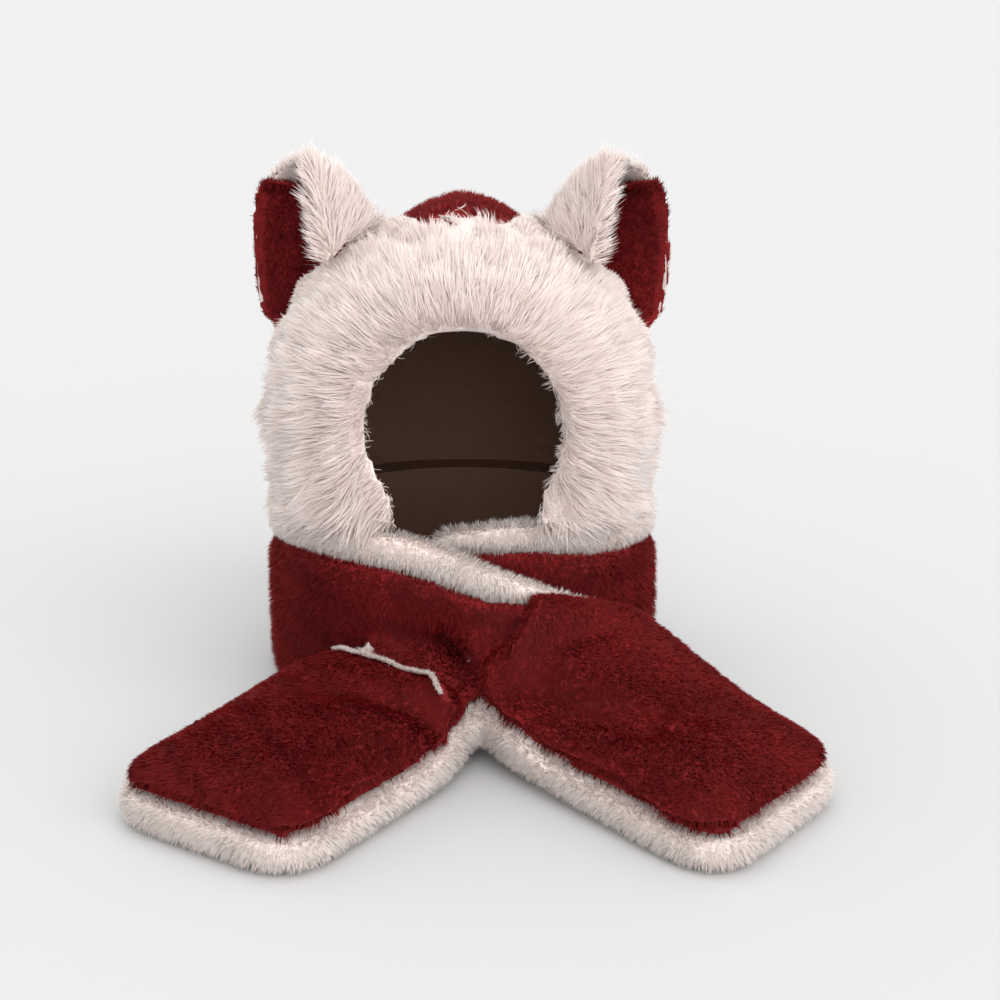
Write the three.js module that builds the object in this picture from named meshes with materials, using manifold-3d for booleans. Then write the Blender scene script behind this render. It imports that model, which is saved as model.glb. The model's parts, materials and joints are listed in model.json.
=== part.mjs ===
// Hooded scarf with ears and hand pockets, standing on its neck band with both tails laid forward.
// Millimetres, +Z up, the face opening looks along -Y, +X is the viewer's right.
import * as THREE from 'three';
import { mergeVertices } from 'three/addons/utils/BufferGeometryUtils.js';
import Module from 'manifold-3d';

const wasm = await Module();
wasm.setup();

// Driving dimensions
const GAP = 0.3;
const LAYER_BED = 1;
const LAYER_ROOM = 0.5;
const NECK_LINING_LOW = 45;
const NECK_LINING_LAP = 3.5;
const NECK_LINING_FRONT_Y = 0;
const HOOD_AXIS_Z = 205;
const LINING_THICKNESS = 2.2;
const CROWN_THICKNESS = 9.5;
const SQUARENESS_ABOVE = 0.94;
const SQUARENESS_BELOW = 0.72;
const HOOD_FLARE = 0.06;
const CROWN_SIDES = 36;
const LINING_SIDES = 24;
const CROWN_RIDGE_HEIGHT = 16;
const CROWN_RIDGE_SPREAD = 0.27;
const CROWN_RIDGE_FRONT = -30;
const OPENING_CENTRE_X = 4;
const OPENING_HALF_WIDTH = 62;
const OPENING_HALF_HEIGHT = 64;
const OPENING_CHIN_HALF_WIDTH = 44;
const OPENING_LOW_Z = 60;
const OPENING_ARC_START = -0.2 * Math.PI;
const OPENING_ARC_TURN = 1.4 * Math.PI;
const OPENING_ARC_STEPS = 16;
const OPENING_DEPTH = 120;
const OPENING_BACK_Y = -70;
const NECKLINE_Z = 121.5;
const NECKLINE_FRONT_Y = -20;
const NECKLINE_SLOPE = 0.155;
const TAIL_PLUSH = 6;
const TAIL_RIM = 6;
const TAIL_CORNER = 36;
const TAIL_CORNER_MARKS = [0.55, 0.33, 0.24, 0.08, 0];
const TAIL_CORNER_NARROWING = 1.8;
const TAIL_CORNER_THINNING = 0.25;
const RIM_RISE = 1.5;
const RIM_BLEND = 3;
const EDGE_ROUND = 0.42;
const PLUSH_ROUND = 0.6;
const CHAMFER = 0.3;
const POCKET_HEIGHT = 25;
const POCKET_WALL = 9;
const POCKET_HOLLOW = 11;
const POCKET_SEAM = 4;
const POCKET_CORNER = 34;
const POCKET_SUNK = 2;
const POCKET_LEAST = 5;
const POCKET_SHUT_AT = 40;
const POCKET_DENT_AT = 0.12;
const POCKET_DENT_SPREAD = 0.34;
const LOCK_RISE = 7;
const LOCK_SHOULDER = 0.6;
const LOCK_POINT = 0.45;
const EAR_WALL = 8;
const EAR_LINING = 4;
const EAR_TIP_Z = 370;
const EAR_CLEARANCE = 1.0;
const EAR_TIP_CLOSING = 16;

// Colours of the plush as 0xRRGGBB
const RED = 0x7a1f20;
const CREAM = 0xd8cbc0;
const BROWN = 0x33241b;

// Hood: inside of the lining at stations from the face to the back of the head
const HOOD_STATIONS = [
  { y: -116, half: 64, up: 64, down: 105 },
  { y: -104, half: 84, up: 84, down: 125 },
  { y: -80, half: 98, up: 98, down: 145 },
  { y: -45, half: 105, up: 105, down: 158 },
  { y: 0, half: 107, up: 108, down: 162 },
  { y: 40, half: 105, up: 107, down: 158 },
  { y: 75, half: 95, up: 96, down: 132 },
  { y: 100, half: 77, up: 79, down: 105 },
  { y: 116, half: 50, up: 48, down: 72 },
  { y: 122, half: 20, up: 18, down: 26 },
];

// Ruff: outside of its backing, from the face opening round the front shoulder and back
const RUFF_STATIONS = [
  { y: -122, half: 62, up: 64, down: 100 },
  { y: -130, half: 72, up: 74, down: 112 },
  { y: -132, half: 88, up: 90, down: 124 },
  { y: -122, half: 106, up: 105, down: 138 },
  { y: -98, half: 121, up: 116, down: 152 },
  { y: -63, half: 129, up: 123, down: 162 },
  { y: -28, half: 131, up: 125, down: 165 },
  { y: 0, half: 129, up: 123, down: 165 },
];

// Fur locks of the ruff: one row for each tier, with the stations where its locks start and end
const LOCK_TIERS = [
  { root: 0.25, tip: 1.6 },
  { root: 1.75, tip: 2.9 },
  { root: 3.05, tip: 4.2 },
  { root: 4.35, tip: 5.4 },
  { root: 5.55, tip: 6.7 },
];
const LOCKS_ROUND = 20;

// Left ear cup at heights from inside the hood to the tip; the right one is its mirror image
const EAR_STATIONS = [
  { z: 226, x: -92, y: -26, half: 30, depth: 46 },
  { z: 240, x: -103, y: -26, half: 48, depth: 68 },
  { z: 256, x: -112, y: -26, half: 57, depth: 84 },
  { z: 280, x: -116, y: -26, half: 57, depth: 88 },
  { z: 305, x: -118, y: -25, half: 53, depth: 84 },
  { z: 326, x: -119, y: -24, half: 46, depth: 74 },
  { z: 344, x: -118, y: -23, half: 38, depth: 59 },
  { z: 358, x: -114, y: -22, half: 28, depth: 41 },
  { z: 366, x: -109, y: -22, half: 17, depth: 24 },
  { z: 370, x: -105, y: -22, half: 8, depth: 11 },
];
const EAR_FACING = new THREE.Vector3(-0.8, -0.6, 0.06).normalize();
const EAR_TURNS = [0, 10, 32, 61, 90, 119, 148, 170, 180].map(THREE.MathUtils.degToRad);

// Over half of the scarf: upper and lower edge of its middle surface, from behind the nape round
// the viewer's left to the crossing and down to the end of the right tail. The first row only
// gives the curve its direction at the nape.
const OVER_ROWS = [
  { up: [88, 74, 119], low: [88, 74, -2], lining: 13, plush: 14, lip: 20, drape: 0 },
  { up: [0, 104, 119], low: [0, 104, -2], lining: 13, plush: 14, lip: 20, drape: 0 },
  { up: [-88, 74, 119], low: [-88, 74, -2], lining: 13, plush: 14, lip: 20, drape: 0 },
  { up: [-124, 0, 121], low: [-124, 0, -2], lining: 13, plush: 14, lip: 20, drape: 0 },
  { up: [-93, -84, 135], low: [-93, -82, 0], lining: 12, plush: 12, lip: 20, drape: 0 },
  { up: [-52, -119, 138], low: [-52, -117, 40], lining: 11, plush: 11, lip: 21, drape: 0 },
  { up: [-10, -128, 129], low: [-13, -124, 74], lining: 10, plush: 10, lip: 22, drape: 0 },
  { up: [38, -136, 110], low: [8, -146, 58], lining: 10, plush: 9, lip: 16, drape: 4 },
  { up: [90, -113, 88], low: [11, -177, 38], lining: 12, plush: 7, lip: 8, drape: 20 },
  { up: [126, -100, 68], low: [26, -203, 33], lining: 17, plush: 6, lip: 6, drape: 12 },
  { up: [160, -126, 46], low: [54, -238, 27], lining: 21, plush: 6, lip: 6, drape: 3 },
  { up: [190, -158, 29], low: [88, -276, 24], lining: 22, plush: 6, lip: 6, drape: 0 },
  { up: [218, -194, 22], low: [120, -315, 22], lining: 22.5, plush: 6, lip: 6, drape: 0 },
  { up: [242, -230, 22], low: [150, -348, 22], lining: 22.5, plush: 6, lip: 6, drape: 0 },
];

// Under half: the same way round the viewer's right, beneath the crossing, to the left tail's end
const UNDER_ROWS = [
  { up: [-88, 74, 119], low: [-88, 74, -2], lining: 13, plush: 14, lip: 20, drape: 0 },
  { up: [0, 104, 119], low: [0, 104, -2], lining: 13, plush: 14, lip: 20, drape: 0 },
  { up: [88, 74, 119], low: [88, 74, -2], lining: 13, plush: 14, lip: 20, drape: 0 },
  { up: [124, 0, 121], low: [124, 0, -2], lining: 13, plush: 14, lip: 20, drape: 0 },
  { up: [90, -74, 130], low: [90, -74, 0], lining: 12, plush: 13, lip: 19, drape: 0 },
  { up: [38, -97, 137], low: [44, -99, 12], lining: 10, plush: 10, lip: 18, drape: 0 },
  { up: [-34, -98, 122], low: [24, -104, 26], lining: 9, plush: 9, lip: 12, drape: 0 },
  { up: [-58, -114, 66], low: [23, -124, 42], lining: 9, plush: 10, lip: 8, drape: 0 },
  { up: [-70, -136, 58], low: [16, -164, 38], lining: 12, plush: 8, lip: 7, drape: 20 },
  { up: [-110, -132, 42], low: [4, -203, 31], lining: 18, plush: 6, lip: 6, drape: 9 },
  { up: [-136, -152, 32], low: [-10, -236, 27], lining: 21, plush: 6, lip: 6, drape: 2 },
  { up: [-175, -205, 24], low: [-48, -289, 24], lining: 22.5, plush: 6, lip: 6, drape: 0 },
  { up: [-214, -264, 22], low: [-87, -349, 22], lining: 22.5, plush: 6, lip: 6, drape: 0 },
];

// Small helpers
const clamp = (x, low, high) => Math.min(high, Math.max(low, x));
const mix = (a, b, k) => a + (b - a) * k;
const ease = (from, to, x) => {
  const k = clamp((x - from) / (to - from), 0, 1);
  return k * k * (3 - 2 * k);
};
const bump = (x, centre, spread) => Math.exp(-(((x - centre) / spread) ** 2));
const range = (count) => [...Array(count).keys()];

// Row between the rows of a table at a fractional index, smooth through every row
function rowAt(rows, at) {
  const last = rows.length - 1;
  const k = clamp(Math.floor(at), 0, last - 1);
  const f = clamp(at, 0, last) - k;
  const four = [Math.max(k - 1, 0), k, k + 1, Math.min(k + 2, last)].map((i) => rows[i]);
  const weights = [
    ((2 - f) * f - 1) * f * 0.5,
    ((3 * f - 5) * f * f + 2) * 0.5,
    ((4 - 3 * f) * f + 1) * f * 0.5,
    (f - 1) * f * f * 0.5,
  ];
  const blend = (values) => values.reduce((sum, v, i) => sum + v * weights[i], 0);
  const row = {};
  for (const [key, value] of Object.entries(rows[k])) {
    row[key] = Array.isArray(value)
      ? new THREE.Vector3(...range(3).map((axis) => blend(four.map((r) => r[key][axis]))))
      : blend(four.map((r) => r[key]));
  }
  return row;
}

// Solid from rings of points that run the same way round, closed by a flat face at each end
function loftSolid(rings, outlines) {
  const size = rings[0].length;
  const points = rings.flat();
  const faces = [];
  for (let k = 0; k + 1 < rings.length; k += 1) {
    for (let i = 0; i < size; i += 1) {
      const a = k * size + i;
      const b = k * size + ((i + 1) % size);
      faces.push(a, b, b + size, a, b + size, a + size);
    }
  }
  const lastStart = (rings.length - 1) * size;
  for (const [i, j, l] of capTriangles(outlines[0])) faces.push(l, j, i);
  for (const [i, j, l] of capTriangles(outlines[1])) {
    faces.push(lastStart + i, lastStart + j, lastStart + l);
  }
  return meshSolid(points, faces);
}

// Triangles of a flat end, wound as its outline is
function capTriangles(outline) {
  const area = (a, b, c) => (b.x - a.x) * (c.y - a.y) - (b.y - a.y) * (c.x - a.x);
  const way = Math.sign(THREE.ShapeUtils.area(outline));
  return THREE.ShapeUtils.triangulateShape(outline, []).map(([i, j, l]) =>
    Math.sign(area(outline[i], outline[j], outline[l])) === way ? [i, j, l] : [i, l, j],
  );
}

function meshSolid(points, faces) {
  const volume = range(faces.length / 3).reduce((sum, k) => {
    const [a, b, c] = [0, 1, 2].map((i) => points[faces[3 * k + i]]);
    return sum + a.dot(new THREE.Vector3().crossVectors(b, c));
  }, 0);
  const outward = volume > 0 ? faces : [...faces].reverse();
  const vertProperties = new Float32Array(points.flatMap((p) => [p.x, p.y, p.z]));
  return new wasm.Manifold(
    new wasm.Mesh({ numProp: 3, vertProperties, triVerts: new Uint32Array(outward) }),
  );
}

function geometrySolid(geometry) {
  const bare = geometry.clone();
  bare.deleteAttribute('normal');
  bare.deleteAttribute('uv');
  const merged = mergeVertices(bare, 1e-4);
  return new wasm.Manifold(
    new wasm.Mesh({
      numProp: 3,
      vertProperties: new Float32Array(merged.attributes.position.array),
      triVerts: new Uint32Array(merged.index.array),
    }),
  );
}

// Geometry of a solid, without the crumbs and closed pockets that joins leave inside it
function solidGeometry(solid) {
  const { numProp, vertProperties, triVerts } = solid.getMesh();
  const position = new Float32Array((vertProperties.length / numProp) * 3);
  for (let i = 0; i < position.length / 3; i += 1) {
    for (const axis of [0, 1, 2]) position[3 * i + axis] = vertProperties[numProp * i + axis];
  }
  const geometry = new THREE.BufferGeometry();
  geometry.setAttribute('position', new THREE.BufferAttribute(position, 3));
  geometry.setIndex(new THREE.BufferAttribute(mainShell(triVerts, position.length / 3), 1));
  geometry.computeVertexNormals();
  return geometry;
}

// Triangles that hang together across their edges, of the largest such group
function mainShell(triangles, pointCount) {
  const count = triangles.length / 3;
  const parent = Int32Array.from(range(count));
  const root = (i) => {
    let at = i;
    while (parent[at] !== at) at = parent[at];
    return at;
  };
  const owner = new Map();
  for (let k = 0; k < count; k += 1) {
    for (const i of range(3)) {
      const [a, b] = [triangles[3 * k + i], triangles[3 * k + ((i + 1) % 3)]];
      const edge = Math.min(a, b) * pointCount + Math.max(a, b);
      if (owner.has(edge)) parent[root(k)] = root(owner.get(edge));
      else owner.set(edge, k);
    }
  }
  const sizes = new Map();
  for (const k of range(count)) sizes.set(root(k), (sizes.get(root(k)) ?? 0) + 1);
  const [main] = [...sizes.entries()].sort((a, b) => b[1] - a[1])[0];
  return Uint32Array.from(triangles.filter((_, i) => root(Math.floor(i / 3)) === main));
}

const join = (solids) => solids.reduce((sum, solid) => sum.add(solid));

// Rings of the hood: round above the axis, squarer and a little wider below it
function hoodPoint(station, angle, grow) {
  const cos = Math.cos(angle);
  const sin = Math.sin(angle);
  const square = sin < 0 ? SQUARENESS_BELOW : SQUARENESS_ABOVE;
  const reach = sin < 0 ? station.down : station.up;
  const flare = 1 + (station.flare ?? 0) * ease(0, 0.6, -sin);
  return new THREE.Vector3(
    (station.half * flare + grow) * Math.sign(cos) * Math.abs(cos) ** square,
    station.y,
    HOOD_AXIS_Z + (reach + grow) * Math.sign(sin) * Math.abs(sin) ** square,
  );
}

function ringSolid(stations, sides, grow, shape = hoodPoint) {
  const angles = range(sides).map((i) => (2 * Math.PI * i) / sides);
  const rings = stations.map((station) => angles.map((angle) => shape(station, angle, grow)));
  const flat = (ring) => ring.map((p) => new THREE.Vector2(p.x, p.z));
  return loftSolid(rings, [flat(rings[0]), flat(rings[rings.length - 1])]);
}

// Hood surface at a distance outside the lining's inner face
function hoodSolid(grow, sides, ridge = 0) {
  const depth = HOOD_STATIONS[HOOD_STATIONS.length - 1].y;
  const stations = HOOD_STATIONS.map((station) => ({
    ...station,
    flare: HOOD_FLARE,
    y: station.y > 0 ? station.y * (1 + grow / depth) : station.y,
  }));
  const shape = (station, angle, amount) => {
    const crest = ridge * ease(CROWN_RIDGE_FRONT, 0, station.y) * ease(depth, depth / 2, station.y);
    return hoodPoint(station, angle, amount + crest * bump(angle, Math.PI / 2, CROWN_RIDGE_SPREAD));
  };
  return ringSolid(stations, sides, grow, shape);
}

// Prism of the face opening, down past the chin
function openingPrism(grow) {
  const outline = new THREE.Shape();
  const chinZ = HOOD_AXIS_Z - OPENING_HALF_HEIGHT;
  outline.moveTo(OPENING_CENTRE_X + OPENING_CHIN_HALF_WIDTH + grow, OPENING_LOW_Z);
  outline.lineTo(OPENING_CENTRE_X + OPENING_CHIN_HALF_WIDTH + grow, chinZ);
  for (const i of range(OPENING_ARC_STEPS + 1)) {
    const angle = OPENING_ARC_START + (OPENING_ARC_TURN * i) / OPENING_ARC_STEPS;
    outline.lineTo(
      OPENING_CENTRE_X + (OPENING_HALF_WIDTH + grow) * Math.cos(angle),
      HOOD_AXIS_Z + (OPENING_HALF_HEIGHT + grow) * Math.sin(angle),
    );
  }
  outline.lineTo(OPENING_CENTRE_X - OPENING_CHIN_HALF_WIDTH - grow, chinZ);
  outline.lineTo(OPENING_CENTRE_X - OPENING_CHIN_HALF_WIDTH - grow, OPENING_LOW_Z);
  const geometry = new THREE.ExtrudeGeometry(outline, { depth: OPENING_DEPTH, bevelEnabled: false });
  geometry.rotateX(Math.PI / 2);
  geometry.translate(0, OPENING_BACK_Y, 0);
  return geometrySolid(geometry);
}

// Everything under the neckline, which rises towards the chin
function belowNeckline() {
  const reach = 260;
  const outline = new THREE.Shape();
  outline.moveTo(-reach, -reach);
  outline.lineTo(reach, -reach);
  outline.lineTo(reach, NECKLINE_Z);
  outline.lineTo(NECKLINE_FRONT_Y, NECKLINE_Z);
  outline.lineTo(-reach, NECKLINE_Z + NECKLINE_SLOPE * (reach + NECKLINE_FRONT_Y));
  const geometry = new THREE.ExtrudeGeometry(outline, { depth: 2 * reach, bevelEnabled: false });
  geometry.rotateY(Math.PI / 2);
  geometry.rotateX(Math.PI / 2);
  geometry.translate(-reach, 0, 0);
  return geometrySolid(geometry);
}

function boxSolid(low, high) {
  const geometry = new THREE.BoxGeometry(high[0] - low[0], high[1] - low[1], high[2] - low[2]);
  geometry.translate((low[0] + high[0]) / 2, (low[1] + high[1]) / 2, (low[2] + high[2]) / 2);
  return geometrySolid(geometry);
}

// Ruff with its fur in tiers of pointed locks: each lock rises towards its tip, and the next tier
// starts low behind it, half a lock further round
function ruffSolid() {
  const last = RUFF_STATIONS.length - 1;
  const ring = (at, phase, ridge, valley, point) =>
    range(2 * LOCKS_ROUND).map((i) => {
      const onRidge = (i + phase) % 2 === 0;
      const station = rowAt(RUFF_STATIONS, onRidge ? at : at - point);
      return hoodPoint(station, (Math.PI * i) / LOCKS_ROUND, onRidge ? ridge : valley);
    });
  const rings = [
    ring(0, 0, 0, 0, 0),
    ...LOCK_TIERS.flatMap(({ root, tip }, k) => [
      ring(root, k, 0, 0, 0),
      ring(mix(root, tip, LOCK_SHOULDER), k, 0.8 * LOCK_RISE, -1, 0),
      ring(tip, k, LOCK_RISE, 0, LOCK_POINT),
    ]),
    ring(last, 0, 0, 0, 0),
  ];
  const flat = (points) => points.map((p) => new THREE.Vector2(p.x, p.z));
  return loftSolid(rings, [flat(rings[0]), flat(rings[rings.length - 1])]);
}

// Strip stations at equal steps along the middle of a table of edges
function stripStations(rows, step, from = 0, to = rows.length - 1) {
  const fine = 12;
  const samples = range(Math.round((to - from) * fine) + 1).map((i) => rowAt(rows, from + i / fine));
  for (const s of samples) s.centre = new THREE.Vector3().addVectors(s.up, s.low).multiplyScalar(0.5);
  const length = [0];
  for (let i = 1; i < samples.length; i += 1) {
    length.push(length[i - 1] + samples[i].centre.distanceTo(samples[i - 1].centre));
  }
  const total = length[length.length - 1];
  const count = Math.max(2, Math.round(total / step));
  const cornerSteps = to === rows.length - 1 ? TAIL_CORNER_MARKS : [];
  const corner = TAIL_CORNER;
  const marks = range(count + 1)
    .map((i) => (i * total) / count)
    .filter((mark) => !cornerSteps.length || mark < total - corner - step / 2);
  if (cornerSteps.length) marks.push(total - corner, ...cornerSteps.map((part) => total - corner * part));
  return marks.map((mark) => {
    const k = clamp(length.findIndex((reach) => reach >= mark) - 1, 0, samples.length - 2);
    const f = clamp((mark - length[k]) / (length[k + 1] - length[k]), 0, 1);
    const [a, b] = [samples[k], samples[k + 1]];
    const centre = a.centre.clone().lerp(b.centre, f);
    const across = a.up.clone().lerp(b.up, f).sub(a.low.clone().lerp(b.low, f));
    const back = samples[Math.max(k - 2, 0)].centre;
    const ahead = samples[Math.min(k + 3, samples.length - 1)].centre;
    const along = ahead.clone().sub(back).normalize();
    const width = across.length();
    across.normalize();
    const out = new THREE.Vector3().crossVectors(along, across).normalize();
    const toEnd = total - mark;
    const inCorner = to === rows.length - 1 && toEnd < corner;
    const round = inCorner ? 1 - Math.sqrt(1 - (1 - toEnd / corner) ** 2) : 0;
    return {
      centre,
      across,
      out,
      toEnd,
      width: width - TAIL_CORNER_NARROWING * corner * round,
      lining: mix(a.lining, b.lining, f) * (1 - TAIL_CORNER_THINNING * round),
      plush: mix(a.plush, b.plush, f),
      lip: mix(a.lip, b.lip, f),
      drape: mix(a.drape, b.drape, f),
    };
  });
}

// Solid lofted along a strip through an outline (across, out) for each station
function stripSolid(stations, outline, flip) {
  const outlines = stations.map((station) => outline(station));
  const rings = stations.map((station, k) =>
    outlines[k].map(([s, h]) =>
      station.centre.clone().addScaledVector(station.across, s).addScaledVector(station.out, flip * h),
    ),
  );
  const flat = (points) => points.map(([s, h]) => new THREE.Vector2(s, h));
  return loftSolid(rings, [flat(outlines[0]), flat(outlines[outlines.length - 1])]);
}

// Cream lining: a slab behind the middle surface, with a lip as thick as the strip along its upper edge;
// drape is how much deeper it hangs at its lower edge
function liningOutline({ width, lining, plush, lip, drape }) {
  const half = width / 2;
  const hem = -lining - drape;
  const round = EDGE_ROUND * lining;
  const roll = mix(RIM_RISE, plush, ease(TAIL_PLUSH, TAIL_PLUSH + RIM_BLEND, plush));
  const shoulder = Math.min(round, 0.8 * lip);
  const fold = Math.min(0.8 * Math.min(shoulder, roll), 0.5 * (lip - shoulder));
  return [
    [-half + round, hem],
    [half - round, -lining],
    [half - CHAMFER * round, -lining + CHAMFER * round],
    [half, -lining + round],
    [half, roll - shoulder],
    [half - CHAMFER * shoulder, roll - CHAMFER * shoulder],
    [half - shoulder, roll],
    [half - lip + fold, roll],
    [half - lip, roll - 0.6 * fold],
    [half - lip, LAYER_BED],
    [-half + round, LAYER_BED],
    [-half + CHAMFER * round, -CHAMFER * round],
    [-half, -round],
    [-half, hem + round],
    [-half + CHAMFER * round, hem + CHAMFER * round],
  ];
}

// Red plush: the outer layer, inside the lip above and inside the cream rim on the tails
function plushOutline({ width, plush, lip }, grow = 0) {
  const half = width / 2;
  const round = PLUSH_ROUND * plush;
  const inset = mix(TAIL_RIM, 0, ease(TAIL_PLUSH, TAIL_PLUSH + RIM_BLEND, plush));
  const low = -half + inset - grow;
  const high = half - lip - GAP + grow;
  const bed = GAP / 2 - grow;
  const top = plush + grow;
  return [
    [low, bed],
    [high, bed],
    [high, top - round],
    [high - CHAMFER * round, top - CHAMFER * round],
    [high - round, top],
    [mix(low, high, 0.5), top + 1],
    [low + round, top],
    [low + CHAMFER * round, top - CHAMFER * round],
    [low, top - round],
  ];
}

const plushRoomOutline = (station) => plushOutline(station, LAYER_ROOM);

// Dark lining inside the neck band, as far down as it shows through the face opening
function neckLiningOutline({ width, lining }) {
  const half = width / 2;
  const near = -lining - GAP;
  const far = near - LINING_THICKNESS;
  return [
    [NECK_LINING_LOW - half, far],
    [half + 0.5 * GAP, far],
    [half + 0.5 * GAP, near],
    [NECK_LINING_LOW - half, near],
  ];
}

// Its turn over the top of the band, out to the lining of the hood
function neckLapOutline({ width, lining, plush }) {
  const half = width / 2;
  const near = -lining - GAP;
  return [
    [half - NECK_LINING_LAP, near - LINING_THICKNESS],
    [half + NECK_LINING_LAP, near - LINING_THICKNESS],
    [half + NECK_LINING_LAP, plush],
    [half + 2 * GAP, plush],
    [half + 2 * GAP, near],
    [half - NECK_LINING_LAP, near],
  ];
}

// Both layers with some room round them
function envelopeOutline({ width, lining, plush, drape }) {
  const half = width / 2 + GAP;
  return [
    [-half, -lining - drape - GAP],
    [half, -lining - GAP],
    [half, plush + 1.5 + GAP],
    [-half, plush + 1.5 + GAP],
  ];
}

// Hand pocket: a padded cover over the tail, with a slot for the hand open at its mouth
function pocketOutline(station, { length, high, valley, grow }) {
  const { width, toEnd, plush } = station;
  const half = width / 2 - TAIL_RIM - 1 + grow;
  const base = plush - POCKET_SUNK - grow;
  const fromMouth = length - toEnd;
  const inCorner = clamp((toEnd - TAIL_RIM - POCKET_SEAM) / POCKET_CORNER, 0, 1);
  const endRound = Math.sqrt(1 - (1 - inCorner) ** 2);
  const mouthRound = mix(0.8, 1, ease(0, 14, fromMouth));
  const rise = mix(high, POCKET_HEIGHT, ease(0, 0.7 * length, fromMouth));
  const height = Math.max(POCKET_LEAST, rise * endRound * mouthRound) + 2 * grow;
  const hollow = toEnd > POCKET_SHUT_AT && !grow ? POCKET_HOLLOW : 0.4;
  const over = range(11).map((i) => {
    const q = 1 - (2 * (i + 0.35)) / 10.7;
    const crown = (1 - Math.abs(q) ** 3) ** 0.5;
    const across = bump(q, POCKET_DENT_AT, POCKET_DENT_SPREAD);
    const dip = valley * across * ease(8, 46, fromMouth) * ease(10, 60, toEnd);
    return [half * q, base + POCKET_SUNK + Math.max(POCKET_SUNK, height * crown - dip)];
  });
  const under = range(7).map((i) => {
    const q = -1 + (2 * i) / 6;
    return [(half - POCKET_WALL) * q, base + POCKET_SUNK * (hollow > 1) + hollow * (1 - Math.abs(q) ** 4)];
  });
  return [[-half, base], ...under, [half, base], ...over];
}

function pocketSolid(stations, size, flip) {
  const seam = TAIL_RIM + POCKET_SEAM;
  const covered = stations.filter((station) => station.toEnd < size.length + 0.5 && station.toEnd > seam);
  const beyond = covered[0].centre.clone().sub(covered[1].centre).setLength(size.grow);
  const mouth = { ...covered[0], centre: covered[0].centre.clone().add(beyond) };
  return stripSolid([mouth, ...covered.slice(1)], (station) => pocketOutline(station, size), flip);
}

// Ear cup: crescents stacked from inside the hood to the tip, open towards EAR_FACING
function earFrame(side) {
  const facing = EAR_FACING.clone();
  facing.x *= side;
  const across = new THREE.Vector3(-facing.y, facing.x, 0).normalize();
  return { facing, across };
}

function earPoint(station, side, along, back) {
  const { facing, across } = earFrame(side);
  const centre = new THREE.Vector3(station.x * side, station.y, station.z);
  return centre.addScaledVector(across, along).addScaledVector(facing, -back);
}

// Half width and depth of the ear's outside and of its hollow at one height
function earSizes({ half, depth, z }) {
  const wall = Math.min(EAR_WALL, 0.45 * half);
  const hollow = Math.max(1, (depth - wall) * ease(EAR_TIP_Z, EAR_TIP_Z - EAR_TIP_CLOSING, z));
  return { outside: [half, depth], inside: [half - wall, hollow] };
}

function crescent([outerHalf, outerDepth], [innerHalf, innerDepth], trim) {
  const turns = EAR_TURNS.slice(trim, EAR_TURNS.length - trim);
  const arc = (half, depth) => turns.map((a) => [half * Math.cos(a), depth * Math.sin(a)]);
  return [...arc(outerHalf, outerDepth), ...arc(innerHalf, innerDepth).reverse()];
}

const earCup = (station) => {
  const { outside, inside } = earSizes(station);
  return crescent(outside, inside, 0);
};

const earPlush = (station) => {
  const [half, depth] = earSizes(station).inside.map((size) => size - EAR_CLEARANCE);
  return crescent([half, depth], [half - EAR_LINING, Math.max(0.5, depth - EAR_LINING)], 1);
};

function earSolid(stations, side, outline) {
  const outlines = stations.map(outline);
  const rings = stations.map((station, k) =>
    outlines[k].map(([along, back]) => earPoint(station, side, along, back)),
  );
  const flat = (points) => points.map(([s, h]) => new THREE.Vector2(s, h));
  return loftSolid(rings, [flat(outlines[0]), flat(outlines[outlines.length - 1])]);
}

// Hood layers
const opening = openingPrism(0);
const wideOpening = openingPrism(3);
const neckSpace = belowNeckline();
const crownInner = LINING_THICKNESS + GAP;
const crownOuter = crownInner + CROWN_THICKNESS;
const hoodLining = hoodSolid(LINING_THICKNESS, LINING_SIDES).subtract(hoodSolid(0, LINING_SIDES));
const crownBody = hoodSolid(crownOuter, CROWN_SIDES, CROWN_RIDGE_HEIGHT);
const hoodCrown = crownBody.subtract(hoodSolid(crownInner, LINING_SIDES));

// Scarf: two halves that meet at the nape; the under half leaves room for the over half
const NAPE_START = 0.95;
const FRONT_ROW = 4;
const STEP = 24;
const over = stripStations(OVER_ROWS, STEP, NAPE_START);
const under = stripStations(UNDER_ROWS, STEP, NAPE_START);
const overFront = stripStations(OVER_ROWS, STEP, FRONT_ROW);
const rightPocketSize = { length: 256, high: 28, valley: 6, grow: 0 };
const leftPocketSize = { length: 190, high: 28, valley: 5, grow: 0 };
const overEnvelope = stripSolid(over, envelopeOutline, 1);
const underEnvelope = stripSolid(under, envelopeOutline, -1);
const rightPocketRoom = pocketSolid(over, { ...rightPocketSize, grow: GAP }, 1);
const leftPocketRoom = pocketSolid(under, { ...leftPocketSize, grow: GAP }, -1);
const overRoom = join([stripSolid(overFront, envelopeOutline, 1), rightPocketRoom]);
const belowFloor = boxSolid([-400, -500, -60], [400, 400, 0]);
const inset = (stations) => stations.filter((station) => station.toEnd > TAIL_RIM);
const plushOver = stripSolid(inset(over), plushOutline, 1);
const plushUnder = stripSolid(inset(under), plushOutline, -1).subtract(overRoom);
const roomOver = stripSolid(inset(over), plushRoomOutline, 1);
const roomUnder = stripSolid(inset(under), plushRoomOutline, -1);
const scarfOuter = plushOver.add(plushUnder).subtract(belowFloor);
const scarfLining = stripSolid(over, liningOutline, 1)
  .add(stripSolid(under, liningOutline, -1).subtract(overRoom))
  .subtract(roomOver)
  .subtract(roomUnder)
  .subtract(rightPocketRoom)
  .subtract(leftPocketRoom)
  .subtract(belowFloor);
const rightPocket = pocketSolid(over, rightPocketSize, 1).subtract(roomOver);
const leftPocket = pocketSolid(under, leftPocketSize, -1).subtract(roomUnder).subtract(overRoom);
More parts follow.
